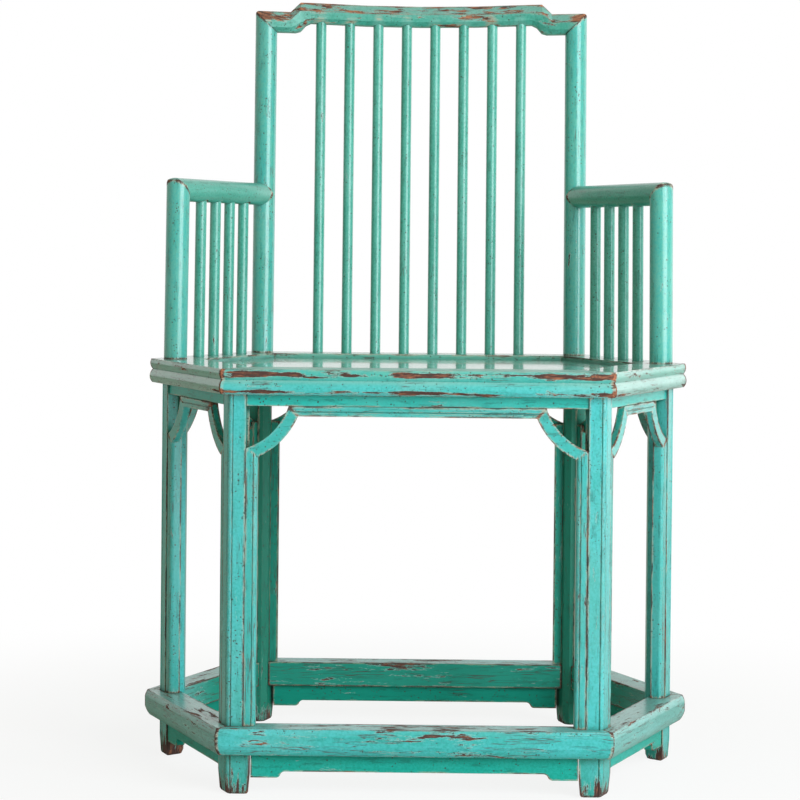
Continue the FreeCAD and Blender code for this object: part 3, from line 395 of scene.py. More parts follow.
class Shelter(Effect):
    """Finds the surfaces under the seat that face inwards or lie deep, where the paint stays fresher and
    painted shade darkens it.
    """

    title = "shelter"
    takes = (Port("Middle", PortKind.VECTOR), Port("Ceiling"))
    gives = (Port("Shelter"), Port("Outward"))
    REACH = 0.1
    FRINGE = 0.02
    LEVEL = (1.0, 1.0, 0.0)
    INWARD = Levels(0.1, -0.25)
    BEHIND = Levels(0.0, 0.1)
    COVERED = Levels(0.66, 0.36)
    OUTWARD = Levels(0.1, 0.5)

    def draw(self, sheet: NodeSheet, given: Sockets) -> Sockets:
        """Compares the way a surface faces with its place, and looks for cover in front of it.

        Args:
            sheet: tree of the group.
            given: its inputs by name.

        Returns:
            The mask of the shelter and its painted shade, and the mask of what faces outwards.
        """
        step = sheet.vector("SUBTRACT", sheet.place(), given["Middle"])
        outward = sheet.vector("NORMALIZE", sheet.vector("MULTIPLY", step, self.LEVEL))
        turned = sheet.vector("DOT_PRODUCT", sheet.facing(), outward)
        behind, height = sheet.axes(step)[1:]
        below = sheet.ease(height, given["Ceiling"], sheet.math("SUBTRACT", given["Ceiling"], self.FRINGE))
        inner = sheet.math("MULTIPLY", sheet.ease(turned, *self.INWARD), sheet.ease(behind, *self.BEHIND))
        deep = sheet.math("MAXIMUM", inner, sheet.ease(sheet.cover(self.REACH), *self.COVERED))
        return {"Shelter": sheet.math("MULTIPLY", deep, below), "Outward": sheet.ease(turned, *self.OUTWARD)}


class CornerChips(Effect):
    """Finds the outer corners of the mitres, where knocks have taken the paint."""

    title = "corner_chips"
    takes = (Port("Place", PortKind.VECTOR), Port("Middle", PortKind.VECTOR), Port("First", PortKind.VECTOR),
             Port("Second", PortKind.VECTOR), Port("Line", PortKind.VECTOR))
    gives = (Port("Chips"),)
    WIDTH = 0.0034
    CORE = WIDTH * 0.6
    RAGGED = 0.014
    TEARS = Pattern(240.0, 4.0, 0.65)

    def draw(self, sheet: NodeSheet, given: Sockets) -> Sockets:
        """Measures how far the nearest corner line is, on one quarter of the chair.

        Args:
            sheet: tree of the group.
            given: its inputs by name.

        Returns:
            The mask, 1 on a corner.
        """
        quarter = sheet.vector("ABSOLUTE", sheet.vector("SUBTRACT", sheet.place(), given["Middle"]))
        away = []
        for corner in (given["First"], given["Second"]):
            step = sheet.vector("MULTIPLY", sheet.vector("SUBTRACT", quarter, corner), given["Line"])
            away.append(sheet.vector("LENGTH", step))
        near = sheet.math("MINIMUM", *away)
        rough = sheet.math("SUBTRACT", sheet.noise(given["Place"], *self.TEARS), NOISE_MIDDLE)
        near = sheet.math("ADD", near, sheet.math("MULTIPLY", rough, self.RAGGED))
        return {"Chips": sheet.ease(near, self.WIDTH, self.CORE)}


class HairCracks(Effect):
    """Fine dark lines along the grain, in loose groups."""

    title = "hair_cracks"
    takes = (Port("Along", PortKind.VECTOR), Port("Share"))
    gives = (Port("Cracks"),)
    STRETCH = 22.0
    PITCH = 0.0075
    LINES = Pattern(1 / PITCH, 3.0, 0.6)
    WIDTH = 0.018
    GROUPS = Pattern(16.0)
    RARE = 0.78
    MORE = 0.4
    FRINGE = 0.08

    def draw(self, sheet: NodeSheet, given: Sockets) -> Sockets:
        """Takes the level lines of a drawn-out noise.

        Args:
            sheet: tree of the group.
            given: its inputs by name.

        Returns:
            The mask of the lines.
        """
        space = GrainSpace().place(sheet, {"Along": given["Along"], "Stretch": self.STRETCH})
        field = sheet.noise(space["Grain"], *self.LINES)
        away = sheet.math("ABSOLUTE", sheet.math("SUBTRACT", field, NOISE_MIDDLE))
        line = sheet.ease(away, self.WIDTH, 0.0)
        level = sheet.math("SUBTRACT", self.RARE, sheet.math("MULTIPLY", given["Share"], self.MORE))
        group = sheet.noise(space["Place"], *self.GROUPS)
        gate = sheet.ease(group, level, sheet.math("ADD", level, self.FRINGE))
        return {"Cracks": sheet.math("MULTIPLY", line, gate)}


class Specks(Effect):
    """Small dark pits where the paint has dropped out."""

    title = "specks"
    takes = (Port("Place", PortKind.VECTOR), Port("Share"))
    gives = (Port("Specks"),)
    PITCH = 0.0032
    SIZE = 0.32
    SMALLEST = 0.28
    SPREAD = 2.0
    CORE = 0.6
    WARP = Pattern(420.0)
    BEND = 0.0022
    CLUSTERS = Pattern(26.0, 3.0)
    CLUSTERED = Levels(0.4, 0.66)
    CROWD = 3.0
    STRAY = 0.6

    def draw(self, sheet: NodeSheet, given: Sockets) -> Sockets:
        """Keeps a share of the cells of a cell pattern, as dots of uneven size.

        Args:
            sheet: tree of the group.
            given: its inputs by name.

        Returns:
            The mask of the dots.
        """
        warp = sheet.node("ShaderNodeTexNoise", {"Vector": given["Place"], "Scale": self.WARP.scale,
                                                 "Detail": self.WARP.detail})
        bent = sheet.vector("ADD", given["Place"], sheet.vector("SCALE", warp.outputs["Color"], self.BEND))
        cells = sheet.node("ShaderNodeTexVoronoi", {"Vector": bent, "Scale": 1 / self.PITCH})
        chance = sheet.node("ShaderNodeSeparateColor", {"Color": cells.outputs["Color"]})
        cluster = sheet.ease(sheet.noise(given["Place"], *self.CLUSTERS), *self.CLUSTERED)
        crowd = sheet.math("ADD", sheet.math("MULTIPLY", cluster, self.CROWD), self.STRAY)
        share = sheet.math("MULTIPLY", given["Share"], crowd)
        kept = sheet.math("LESS_THAN", chance.outputs["Red"], share)
        size = sheet.math("ADD", sheet.math("POWER", chance.outputs["Green"], self.SPREAD), self.SMALLEST)
        size = sheet.math("MULTIPLY", size, self.SIZE)
        dot = sheet.ease(cells.outputs["Distance"], size, sheet.math("MULTIPLY", size, self.CORE))
        return {"Specks": sheet.math("MULTIPLY", dot, kept)}


class Wear(Effect):
    """How hard each place has been used: arrises, tops, feet, mitre corners, two bands and the middle."""

    title = "wear"
    takes = (Port("Edge"), Port("Chips"), Port("Uneven"), Port("Outward"), Port("Edge Pull"),
             Port("Edge Level"), Port("Top Pull"), Port("Foot Height"), Port("Foot Pull"),
             Port("Corner Pull"), Port("Band Level"), Port("Lower Level"), Port("Band Pull"),
             Port("Middle Pull"))
    gives = (Port("Pull"),)
    BAND = 0.0055
    BAND_CORE = BAND / 4
    LOWER = 0.001
    TREAD = 0.15
    PATCHY = 0.45
    EVEN = 0.55
    EDGE_RISE = 0.2
    UPWARD = Levels(0.1, 0.8)

    def draw(self, sheet: NodeSheet, given: Sockets) -> Sockets:
        """Adds up what pulls at the paint.

        Args:
            sheet: tree of the group.
            given: its inputs by name.

        Returns:
            The pull.
        """
        uneven = sheet.math("ADD", sheet.math("MULTIPLY", given["Uneven"], self.PATCHY), self.EVEN)
        lift = sheet.axes(sheet.facing())[2]
        rubbed = sheet.math("MULTIPLY", given["Edge"], uneven)
        level = given["Edge Level"]
        raised = sheet.ease(lift, level, sheet.math("ADD", level, self.EDGE_RISE))
        rubbed = sheet.math("MULTIPLY", rubbed, raised)
        upward = sheet.ease(lift, *self.UPWARD)
        across, _, height = sheet.axes(sheet.place())
        trodden = sheet.ease(sheet.math("ABSOLUTE", across), self.TREAD, 0.0)
        low = sheet.ease(height, given["Foot Height"], 0.0)
        from_band = sheet.math("ABSOLUTE", sheet.math("SUBTRACT", height, given["Band Level"]))
        from_lower = sheet.math("ABSOLUTE", sheet.math("SUBTRACT", height, given["Lower Level"]))
        near = sheet.math("MINIMUM", from_band, sheet.math("ADD", from_lower, self.LOWER))
        band = sheet.math("MULTIPLY", sheet.ease(near, self.BAND, self.BAND_CORE), given["Outward"])
        band = sheet.math("MULTIPLY", band, uneven)
        pull = sheet.math("MULTIPLY", given["Edge Pull"], rubbed)
        for mask, name in ((upward, "Top Pull"), (low, "Foot Pull"), (given["Chips"], "Corner Pull"),
                           (band, "Band Pull"), (trodden, "Middle Pull")):
            pull = sheet.math("ADD", pull, sheet.math("MULTIPLY", mask, given[name]))
        return {"Pull": pull}


class WornPaint(Effect):
    """Old paint on wood: it fades, is paled by painted light on its tops, darkens with dirt and painted shade
    in corners and with painted shade under the seat, and breaks away where it is used.
    """

    title = "worn_paint"
    passed_on = tuple(port for port in Wear.takes if port.name.endswith(("Pull", "Height", "Level")))
    spots = tuple(port for port in CornerChips.takes if port.name != "Place")
    takes = passed_on + spots + (
        Port("Along", PortKind.VECTOR), Port("Paint", PortKind.COLOUR), Port("Deep", PortKind.COLOUR),
        Port("Upper", PortKind.COLOUR), Port("Fresh", PortKind.COLOUR), Port("Faded", PortKind.COLOUR),
        Port("Primer", PortKind.COLOUR), Port("Rubbed", PortKind.COLOUR), Port("Wood", PortKind.COLOUR),
        Port("Dirt", PortKind.COLOUR),
        Port("Ceiling"), Port("Hold"), Port("Patch Size"), Port("Edge Reach"), Port("Ochre"), Port("Fade"),
        Port("Stains"), Port("Cracks"), Port("Specks"), Port("Gloss"), Port("Lacquer"), Port("Stands Below"),
    )
    gives = (Port("Colour", PortKind.COLOUR), Port("Roughness"), Port("Coat"), Port("Height"))
    STRETCH = 6.0
    # Reach of the look for corners, which take dirt and painted shade.
    CREVICE_REACH = 0.011
    BLOTCHES = Pattern(11.0, 3.0)
    UNEVEN = Levels(0.3, 0.68)
    CLOUDED = Levels(0.42, 0.75)
    STAINS = Pattern(190.0, 6.0, 0.78)
    STAINED = Levels(0.53, 0.64)
    BRUSH = Pattern(420.0, 3.0)
    # How fully each layer hides the paint.
    DIRT_AND_SHADE_COVER = 0.75
    RIM_COVER = 0.7
    CRACK_COVER = 0.8
    SPECK_COVER = 0.85
    PIT_WOOD = 0.5
    # Roughness and height of the surface.
    CREVICE_MATT = 0.5
    SHELTER_MATT = 0.6
    BRUSH_ROUGH = 0.12
    MATT_ROUGH = 0.4
    CRACK_DEPTH = 0.6
    SPECK_DEPTH = 0.7
    BRUSH_DEPTH = 0.22
    # Places where the paint breaks away.
    PATCH_DETAIL = 7.0
    PATCH_ROUGH = 0.72
    CONTRAST = 1.15
    CLOUD_WEIGHT = 0.3
    BREAK = 0.025
    RIM_WIDTH = 0.035
    EDGE_RIM = 0.1
    # Colour of the paint that is left, paled on its tops with painted light.
    DRIFT = Pattern(34.0, 5.0, 0.65)
    DRIFTED = Levels(0.36, 0.68)
    DRIFT_WEIGHT = 0.6
    MOTTLE = Pattern(330.0, 3.0, 0.6)
    MOTTLED = Levels(0.4, 0.66)
    MOTTLE_WEIGHT = 0.6
    ABOVE = Levels(0.0, 0.03)
    UPWARD = Levels(0.2, 0.8)
    EDGE_FADE = 0.6
    CLOUD_FADE = 0.4
    TOP_LIGHT_AND_FADE = 0.6
    # Ground that streaks the bare wood.
    STREAKS = Pattern(260.0, 4.0, 0.7)
    STREAK_FRINGE = 0.12
    STREAK_COVER = 0.7
    CHIP_COVER = 0.5
    GROUND_RARE = 0.68
    GROUND_MORE = 0.3

    def draw(self, sheet: NodeSheet, given: Sockets) -> Sockets:
        """Lays the coats over each other.

        Args:
            sheet: tree of the group.
            given: its inputs by name.

        Returns:
            Colour, roughness, share of lacquer and height of the surface.
        """
        along = self.run_of_wood(sheet, given)
        space = GrainSpace().place(sheet, {"Along": along, "Stretch": self.STRETCH})
        grain, place = space["Grain"], space["Place"]
        edge = RubbedEdge().place(sheet, {"Reach": given["Edge Reach"]})["Edge"]
        dirt = Crevice().place(sheet, {"Reach": self.CREVICE_REACH})["Dirt"]
        cover = Shelter().place(sheet, {"Middle": given["Middle"], "Ceiling": given["Ceiling"]})
        shelter = cover["Shelter"]
        corner = {port.name: given[port.name] for port in self.spots}
        chips = CornerChips().place(sheet, {"Place": place, **corner})["Chips"]
        cracks = HairCracks().place(sheet, {"Along": along, "Share": given["Cracks"]})["Cracks"]
        specks = Specks().place(sheet, {"Place": place, "Share": given["Specks"]})["Specks"]
        blotch = sheet.noise(place, *self.BLOTCHES)
        pulls = {port.name: given[port.name] for port in self.passed_on}
        pulls |= {"Edge": edge, "Chips": chips, "Outward": cover["Outward"],
                  "Uneven": sheet.ease(blotch, *self.UNEVEN)}
        pull = Wear().place(sheet, pulls)["Pull"]
        bare, rim = self.break_away(sheet, given, grain, blotch, pull, edge)
        clouds = sheet.ease(blotch, *self.CLOUDED)
        colour = self.faded_and_shaded_coat(sheet, given, space, clouds, edge, shelter)
        stain = sheet.ease(sheet.noise(grain, *self.STAINS), *self.STAINED)
        stain = sheet.math("MULTIPLY", stain, given["Stains"])
        # Dirt and painted shade: corners found by the crevice mask darken towards the dirt colour, along with
        # the real stains.
        soiled_and_shaded = sheet.math("MAXIMUM", sheet.math("MULTIPLY", dirt, self.DIRT_AND_SHADE_COVER), stain)
        colour = sheet.blend(soiled_and_shaded, colour, given["Dirt"])
        thin = sheet.blend(edge, given["Faded"], given["Rubbed"])
        colour = sheet.blend(sheet.math("MULTIPLY", rim, self.RIM_COVER), colour, thin)
        colour = sheet.blend(bare, colour, self.timber(sheet, given, grain, chips))
        colour = sheet.blend(sheet.math("MULTIPLY", cracks, self.CRACK_COVER), colour, given["Wood"])
        pit = sheet.blend(self.PIT_WOOD, given["Dirt"], given["Wood"])
        colour = sheet.blend(sheet.math("MULTIPLY", specks, self.SPECK_COVER), colour, pit)
        brush = sheet.noise(grain, *self.BRUSH)
        matt = sheet.math("MAXIMUM", bare, sheet.math("MULTIPLY", dirt, self.CREVICE_MATT))
        matt = sheet.math("MAXIMUM", matt, sheet.math("MULTIPLY", shelter, self.SHELTER_MATT))
        rough = sheet.math("ADD", given["Gloss"], sheet.math("MULTIPLY", brush, self.BRUSH_ROUGH))
        rough = sheet.math("ADD", rough, sheet.math("MULTIPLY", matt, self.MATT_ROUGH), clamp=True)
        coat = sheet.math("MULTIPLY", given["Lacquer"], sheet.math("SUBTRACT", 1.0, matt))
        lines = sheet.math("MULTIPLY", cracks, self.CRACK_DEPTH)
        pits = sheet.math("ADD", lines, sheet.math("MULTIPLY", specks, self.SPECK_DEPTH))
        film = sheet.math("SUBTRACT", 1.0, sheet.math("MAXIMUM", bare, pits))
        height = sheet.math("ADD", film, sheet.math("MULTIPLY", brush, self.BRUSH_DEPTH))
        return {"Colour": colour, "Roughness": rough, "Coat": coat, "Height": height}

    def run_of_wood(self, sheet: NodeSheet, given: Sockets) -> Socket:
        """Way that the wood runs: upright in the sticks that stand below a level, along the piece above it.

        Args:
            sheet: tree of the group.
            given: its inputs by name.

        Returns:
            The direction.
        """
        upright = sheet.math("LESS_THAN", sheet.axes(sheet.place())[2], given["Stands Below"])
        lying = sheet.vector("SCALE", given["Along"], sheet.math("SUBTRACT", 1.0, upright))
        return sheet.vector("ADD", lying, sheet.vector("SCALE", UPRIGHT_AXIS, upright))

    def break_away(self, sheet: NodeSheet, given: Sockets, grain: Feed, blotch: Feed, pull: Feed,
                   edge: Feed) -> tuple[Socket, Socket]:
        """Finds where the paint is gone, and the thin rim round those places.

        Args:
            sheet: tree of the group.
            given: its inputs by name.
            grain: coordinates drawn out along the grain.
            blotch: uneven wear over the piece.
            pull: how hard a place has been used.
            edge: mask of the arrises, where the rim is wider.

        Returns:
            The mask of bare wood and the mask of the rim.
        """
        scale = sheet.math("DIVIDE", 1.0, given["Patch Size"])
        patches = sheet.noise(grain, scale, self.PATCH_DETAIL, self.PATCH_ROUGH)
        patches = sheet.math("MULTIPLY", sheet.math("SUBTRACT", patches, NOISE_MIDDLE), self.CONTRAST)
        clouds = sheet.math("MULTIPLY", sheet.math("SUBTRACT", blotch, NOISE_MIDDLE), self.CLOUD_WEIGHT)
        wear = sheet.math("ADD", sheet.math("ADD", patches, clouds), NOISE_MIDDLE)
        wear = sheet.math("ADD", wear, pull)
        bare = sheet.ease(wear, given["Hold"], sheet.math("ADD", given["Hold"], self.BREAK))
        width = sheet.math("ADD", sheet.math("MULTIPLY", edge, self.EDGE_RIM), self.RIM_WIDTH)
        around = sheet.ease(wear, sheet.math("SUBTRACT", given["Hold"], width), given["Hold"])
        return bare, sheet.math("SUBTRACT", around, bare)

    def faded_and_shaded_coat(self, sheet: NodeSheet, given: Sockets, space: bpy.types.bpy_prop_collection, clouds: Feed,
                   edge: Feed, shelter: Feed) -> Socket:
        """Colour of the paint that is left, uneven, rubbed pale, paled with painted light on its tops, and
        darkened with painted shade towards the fresh colour where it is sheltered.

        Args:
            sheet: tree of the group.
            given: its inputs by name.
            space: drawn-out and plain coordinates.
            clouds: patches that have faded more.
            edge: mask of the arrises.
            shelter: mask of the sheltered surfaces.

        Returns:
            The colour.
        """
        drift = sheet.ease(sheet.noise(space["Grain"], *self.DRIFT), *self.DRIFTED)
        drift = sheet.math("MULTIPLY", drift, self.DRIFT_WEIGHT)
        mottle = sheet.ease(sheet.noise(space["Place"], *self.MOTTLE), *self.MOTTLED)
        uneven = sheet.math("ADD", drift, sheet.math("MULTIPLY", mottle, self.MOTTLE_WEIGHT))
        height = sheet.axes(sheet.place())[2]
        above = sheet.math("SUBTRACT", height, given["Ceiling"])
        colour = sheet.blend(sheet.ease(above, *self.ABOVE), given["Paint"], given["Upper"])
        colour = sheet.blend(uneven, colour, given["Deep"])
        # Painted light: faces that look up are paled as if lit from above, on top of the fading.
        upward = sheet.ease(sheet.axes(sheet.facing())[2], *self.UPWARD)
        pale = sheet.math("MULTIPLY", edge, self.EDGE_FADE)
        for part, weight in ((clouds, self.CLOUD_FADE), (upward, self.TOP_LIGHT_AND_FADE)):
            pale = sheet.math("ADD", pale, sheet.math("MULTIPLY", part, weight))
        colour = sheet.blend(sheet.math("MULTIPLY", pale, given["Fade"]), colour, given["Faded"])
        # Painted shade: sheltered surfaces under the seat darken towards the fresh colour.
        return sheet.blend(shelter, colour, given["Fresh"])

    def timber(self, sheet: NodeSheet, given: Sockets, grain: Feed, chips: Feed) -> Socket:
        """Colour of the bare places: dark wood, streaked with the ground under the paint.

        Args:
            sheet: tree of the group.
            given: its inputs by name.
            grain: coordinates drawn out along the grain.
            chips: mask of the mitre corners, where the ground shows.

        Returns:
            The colour.
        """
        more = sheet.math("MULTIPLY", given["Ochre"], self.GROUND_MORE)
        level = sheet.math("SUBTRACT", self.GROUND_RARE, more)
        low = sheet.math("SUBTRACT", level, self.STREAK_FRINGE)
        high = sheet.math("ADD", level, self.STREAK_FRINGE)
        streaks = sheet.ease(sheet.noise(grain, *self.STREAKS), low, high)
        ground = sheet.math("MULTIPLY", streaks, self.STREAK_COVER)
        ground = sheet.math("ADD", ground, sheet.math("MULTIPLY", chips, self.CHIP_COVER), clamp=True)
        return sheet.blend(ground, given["Wood"], given["Primer"])


class Grain(Enum):
    """Way that the wood of a piece runs."""

    UPRIGHT = "upright"
    ACROSS = "across"
    DEEP = "deep"
    LEANING_LEFT = "left_front"
    LEANING_RIGHT = "right_front"

    def direction(self) -> Point:
        """Finds the run of the grain in the chair's frame.

        Returns:
            A unit vector.
        """
        plain = {Grain.UPRIGHT: UPRIGHT_AXIS, Grain.ACROSS: (1.0, 0.0, 0.0), Grain.DEEP: (0.0, 1.0, 0.0)}
        if self in plain:
            return plain[self]
        low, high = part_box(f"{self.value}_apron")
        run = Vector((high.x - low.x, high.y - low.y, 0.0)).normalized()
        return (run.x, -run.y if self is Grain.LEANING_LEFT else run.y, 0.0)

    @staticmethod
    def of_edge(edge: str) -> "Grain":
        """Finds the run of a rail on one side of the chair.

        Args:
            edge: name of the side.

        Returns:
            The run of its grain.
        """
        if edge in LONG_EDGES:
            return Grain.ACROSS
        return Grain.LEANING_LEFT if edge in ("left_front", "right_back") else Grain.LEANING_RIGHT


class Corners(Enum):
    """Mitres whose outer corners are chipped."""

    NONE = "none"
    SEAT = "front_seat_rail"
    ARM = "right_arm_rail"
    CREST = "crest_rail"

    def spots(self) -> dict[str, Point]:
        """Finds the corner lines on the right front quarter, as steps from the middle of the leg ring.

        Returns:
            Two corners and the axes across their lines.
        """
        if self is Corners.NONE:
            return {"First": (0.0, 0.0, 0.0), "Second": (0.0, 0.0, 0.0), "Line": (1.0, 1.0, 1.0)}
        if self is Corners.SEAT:
            front_low, front_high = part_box(self.value)
            corner = (front_high.x, ring_middle() - front_low.y, 0.0)
            return {"First": corner, "Second": corner, "Line": (1.0, 1.0, 0.0)}
        points = [vertex.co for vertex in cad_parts[self.value].data.vertices]
        tip = max(points, key=lambda point: TIP_SLOPE * point.x + point.z)
        peak = tip
        if self is Corners.CREST:
            peak = max(points, key=lambda point: point.z + PEAK_SLOPE * point.x)
        return {"First": (tip.x, 0.0, tip.z), "Second": (peak.x, 0.0, peak.z), "Line": (1.0, 0.0, 1.0)}


@dataclass(frozen=True)
class PaintFinish:
    """One way that the painted wood has aged."""

    name: str
    paint: Colour = shade(68, 182, 182)
    deep: Colour = shade(44, 162, 153)
    upper: Colour = shade(80, 168, 150)
    # Darker colour for the sheltered surfaces under the seat: fresher paint, darkened with painted shade.
    fresh: Colour = shade(8, 138, 118)
    faded: Colour = shade(158, 196, 188)
    primer: Colour = shade(186, 116, 82)
    rubbed: Colour = shade(196, 166, 138)
    wood: Colour = shade(72, 48, 42)
    # Dark colour of stains and pits, also used as painted shade in corners.
    dirt: Colour = shade(20, 70, 56)
    hold: float = 0.72
    patch_size: float = 0.0085
    edge_reach: float = 0.0032
    edge_pull: float = 0.26
    edge_level: float = -2.0
    top_pull: float = 0.0
    foot_height: float = 0.045
    foot_pull: float = 0.0
    corners: Corners = Corners.NONE
    corner_pull: float = 0.0
    band_pull: float = 0.0
    middle_pull: float = 0.0
    stands_below: float = -1.0
    ochre: float = 0.4
    fade: float = 0.3
    stains: float = 0.4
    cracks: float = 0.35
    specks: float = 0.22
    gloss: float = 0.26
    lacquer: float = 0.6
    coat_roughness: float = 0.14
    specular: float = 0.35
    relief: float = 0.0004
    soft_edge: float = 0.0011

    def material(self, grain: Grain) -> bpy.types.Material:
        """Makes the material for one run of the grain, or finds it.

        Args:
            grain: way that the wood runs.

        Returns:
            The material.
        """
        title = f"{self.name}_{grain.name.lower()}"
        made = bpy.data.materials.get(title)
        if made:
            return made
        made = bpy.data.materials.new(title)
        made.use_nodes = True
        made.node_tree.nodes.clear()
        sheet = NodeSheet(made.node_tree)
        coat = WornPaint().place(sheet, self.colours() | self.wear() | {"Along": grain.direction()})
        shape = sheet.node("ShaderNodeBevel", {"Radius": self.soft_edge}, samples=BEVEL_SAMPLES)
        bump = sheet.node("ShaderNodeBump", {"Distance": self.relief, "Height": coat["Height"],
                                             "Normal": shape.outputs["Normal"]})
        shader = sheet.node("ShaderNodeBsdfPrincipled", {
            "Base Color": coat["Colour"], "Roughness": coat["Roughness"], "Coat Weight": coat["Coat"],
            "Coat Roughness": self.coat_roughness, "Specular IOR Level": self.specular,
            "Normal": bump.outputs["Normal"]})
        sheet.node("ShaderNodeOutputMaterial", {"Surface": shader.outputs["BSDF"]})
        return made

    def colours(self) -> dict[str, Feed]:
        """Sets the colours of the worn paint.

        Returns:
            The values by socket name.
        """
        return {
            "Paint": solid(self.paint), "Deep": solid(self.deep), "Upper": solid(self.upper),
            "Fresh": solid(self.fresh), "Faded": solid(self.faded), "Primer": solid(self.primer),
            "Rubbed": solid(self.rubbed), "Wood": solid(self.wood), "Dirt": solid(self.dirt),
            "Ochre": self.ochre, "Fade": self.fade, "Stains": self.stains, "Gloss": self.gloss,
            "Lacquer": self.lacquer,
        }

    def wear(self) -> dict[str, Feed]:
        """Sets where and how much of the paint is gone.

        Returns:
            The values by socket name.
        """
        seat_low, seat_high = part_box("front_seat_rail")
        tall = seat_high.z - seat_low.z
        return {
            "Hold": self.hold, "Patch Size": self.patch_size, "Edge Reach": self.edge_reach,
            "Edge Pull": self.edge_pull, "Edge Level": self.edge_level, "Top Pull": self.top_pull,
            "Foot Height": self.foot_height, "Foot Pull": self.foot_pull, "Corner Pull": self.corner_pull,
            "Band Pull": self.band_pull, "Middle Pull": self.middle_pull,
            "Band Level": seat_high.z - tall * UPPER_BAND, "Lower Level": seat_low.z + tall * LOWER_BAND,
            "Ceiling": seat_low.z, "Middle": (0.0, ring_middle(), 0.0),
            "Cracks": self.cracks, "Specks": self.specks, "Stands Below": self.stands_below,
            **self.corners.spots(),
        }


# The legs take a still darker fresh colour, painted shade on their inner faces under the seat.
LEG_PAINT = PaintFinish("leg_paint", fresh=shade(14, 122, 100), hold=0.715, edge_pull=0.28, edge_reach=0.004,
                        foot_pull=0.25, specks=0.3, ochre=0.2, lacquer=0.45)
SKIRT_PAINT = PaintFinish("skirt_paint", paint=shade(36, 174, 162), deep=shade(20, 152, 136), fade=0.12,
                          cracks=0.4, edge_pull=0.24, specks=0.24, lacquer=0.1, specular=0.15)
BASE_PAINT = PaintFinish("base_paint", hold=0.635, cracks=0.95, edge_pull=0.24, top_pull=0.05,
                         patch_size=0.009, middle_pull=0.1, specks=0.32, lacquer=0.35, coat_roughness=0.25,
                         ochre=0.25)
# Paler, greyer copy of the base paint for the slanted side rails: painted reflection of the white
# surroundings.
BASE_SIDE_SHEEN_PAINT = replace(BASE_PAINT, name="base_side_sheen_paint", paint=shade(96, 168, 162),
                          deep=shade(72, 146, 136))
LINER_PAINT = PaintFinish("liner_paint", paint=shade(60, 172, 168), hold=0.69, cracks=0.6, edge_pull=0.27,
                          edge_reach=0.004, specks=0.32, stands_below=0.407)
APRON_PAINT = PaintFinish("apron_paint", paint=shade(36, 178, 166), cracks=0.4, edge_pull=0.2, specks=0.3,
                          lacquer=0.2, specular=0.2)
SEAT_PAINT = PaintFinish("seat_paint", hold=0.68, edge_pull=0.17, edge_reach=0.0045, fade=0.5, specks=0.34,
                         patch_size=0.0065, faded=shade(176, 194, 182), cracks=0.6, band_pull=0.3,
                         corners=Corners.SEAT, corner_pull=0.06, ochre=0.3, gloss=0.4, lacquer=0.3,
                         coat_roughness=0.3)
# Paler, greyer copy of the seat paint for the side rails: painted reflection of the white surroundings on
# faces seen at a slant.
SEAT_SIDE_SHEEN_PAINT = replace(SEAT_PAINT, name="seat_side_sheen_paint", paint=shade(136, 176, 168),
                          deep=shade(112, 160, 150), band_pull=0.1, edge_pull=0.26, cracks=0.8,
                          lacquer=0.75, coat_roughness=0.07)
SEAT_BACK_PAINT = replace(SEAT_PAINT, name="seat_back_paint", paint=shade(96, 178, 154),
                          deep=shade(74, 160, 136), band_pull=0.0, lacquer=0.6, coat_roughness=0.1)
PANEL_PAINT = PaintFinish("panel_paint", paint=shade(92, 176, 152), deep=shade(70, 160, 138), hold=0.85,
                          specks=0.05, gloss=0.2, lacquer=0.6, coat_roughness=0.06)
ROUND_PAINT = PaintFinish("round_paint", paint=shade(80, 168, 150), deep=shade(50, 148, 128), specks=0.28,
                          lacquer=0.38, coat_roughness=0.22)
ARM_PAINT = replace(ROUND_PAINT, name="arm_paint", corners=Corners.ARM, corner_pull=0.4)
CREST_PAINT = replace(ROUND_PAINT, name="crest_paint", hold=0.615, top_pull=0.085, edge_reach=0.008,
                      edge_pull=0.22, edge_level=0.15, patch_size=0.009, specks=0.34, ochre=0.6,
                      primer=shade(196, 132, 96), fade=0.4, corners=Corners.CREST, corner_pull=0.1)
# The fresh colour of the battens is a painted shade of the wood under the seat.
BATTEN_WOOD = PaintFinish("batten_wood", paint=shade(132, 96, 66), deep=shade(108, 76, 50),
                          fresh=shade(120, 86, 58), faded=shade(150, 118, 88), dirt=shade(54, 38, 26),
                          lacquer=0.0, gloss=0.55)


@dataclass
class SubAssembly:
    """Pieces of the chair that are finished alike."""

    title: str
    finish: PaintFinish

    def runs(self) -> dict[str, Grain]:
        """Lists the pieces.

        Returns:
            The run of the grain by piece.
        """
        raise NotImplementedError(self.title)

    def dress(self) -> None:
        """Gives each piece its material and reports it."""
        for name, grain in self.runs().items():
            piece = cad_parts[name]
            piece.data.materials.clear()
            piece.data.materials.append(self.finish.material(grain))
            LOG.info("%s: %s in %s, grain %s", self.title, name, self.finish.name, grain.name.lower())


@dataclass
class RingOfRails(SubAssembly):
    """Like pieces, one on each of several sides of the chair."""

    label: str
    edges: tuple[str, ...] = EDGES

    def runs(self) -> dict[str, Grain]:
        """Lists one piece for each side of the chair.

        Returns:
            The run of the grain by piece.
        """
        return {f"{edge}_{self.label}": Grain.of_edge(edge) for edge in self.edges}


@dataclass
class Uprights(SubAssembly):
    """Pieces whose wood stands on end."""

    names: tuple[str, ...]

    def runs(self) -> dict[str, Grain]:
        """Lists the pieces.

        Returns:
            The run of the grain by piece.
        """
        return {name: Grain.UPRIGHT for name in self.names}


@dataclass
class Singles(SubAssembly):
    """Pieces listed one by one."""

    pieces: dict[str, Grain]

    def runs(self) -> dict[str, Grain]:
        """Lists the pieces.

        Returns:
            The run of the grain by piece.
        """
        return self.pieces


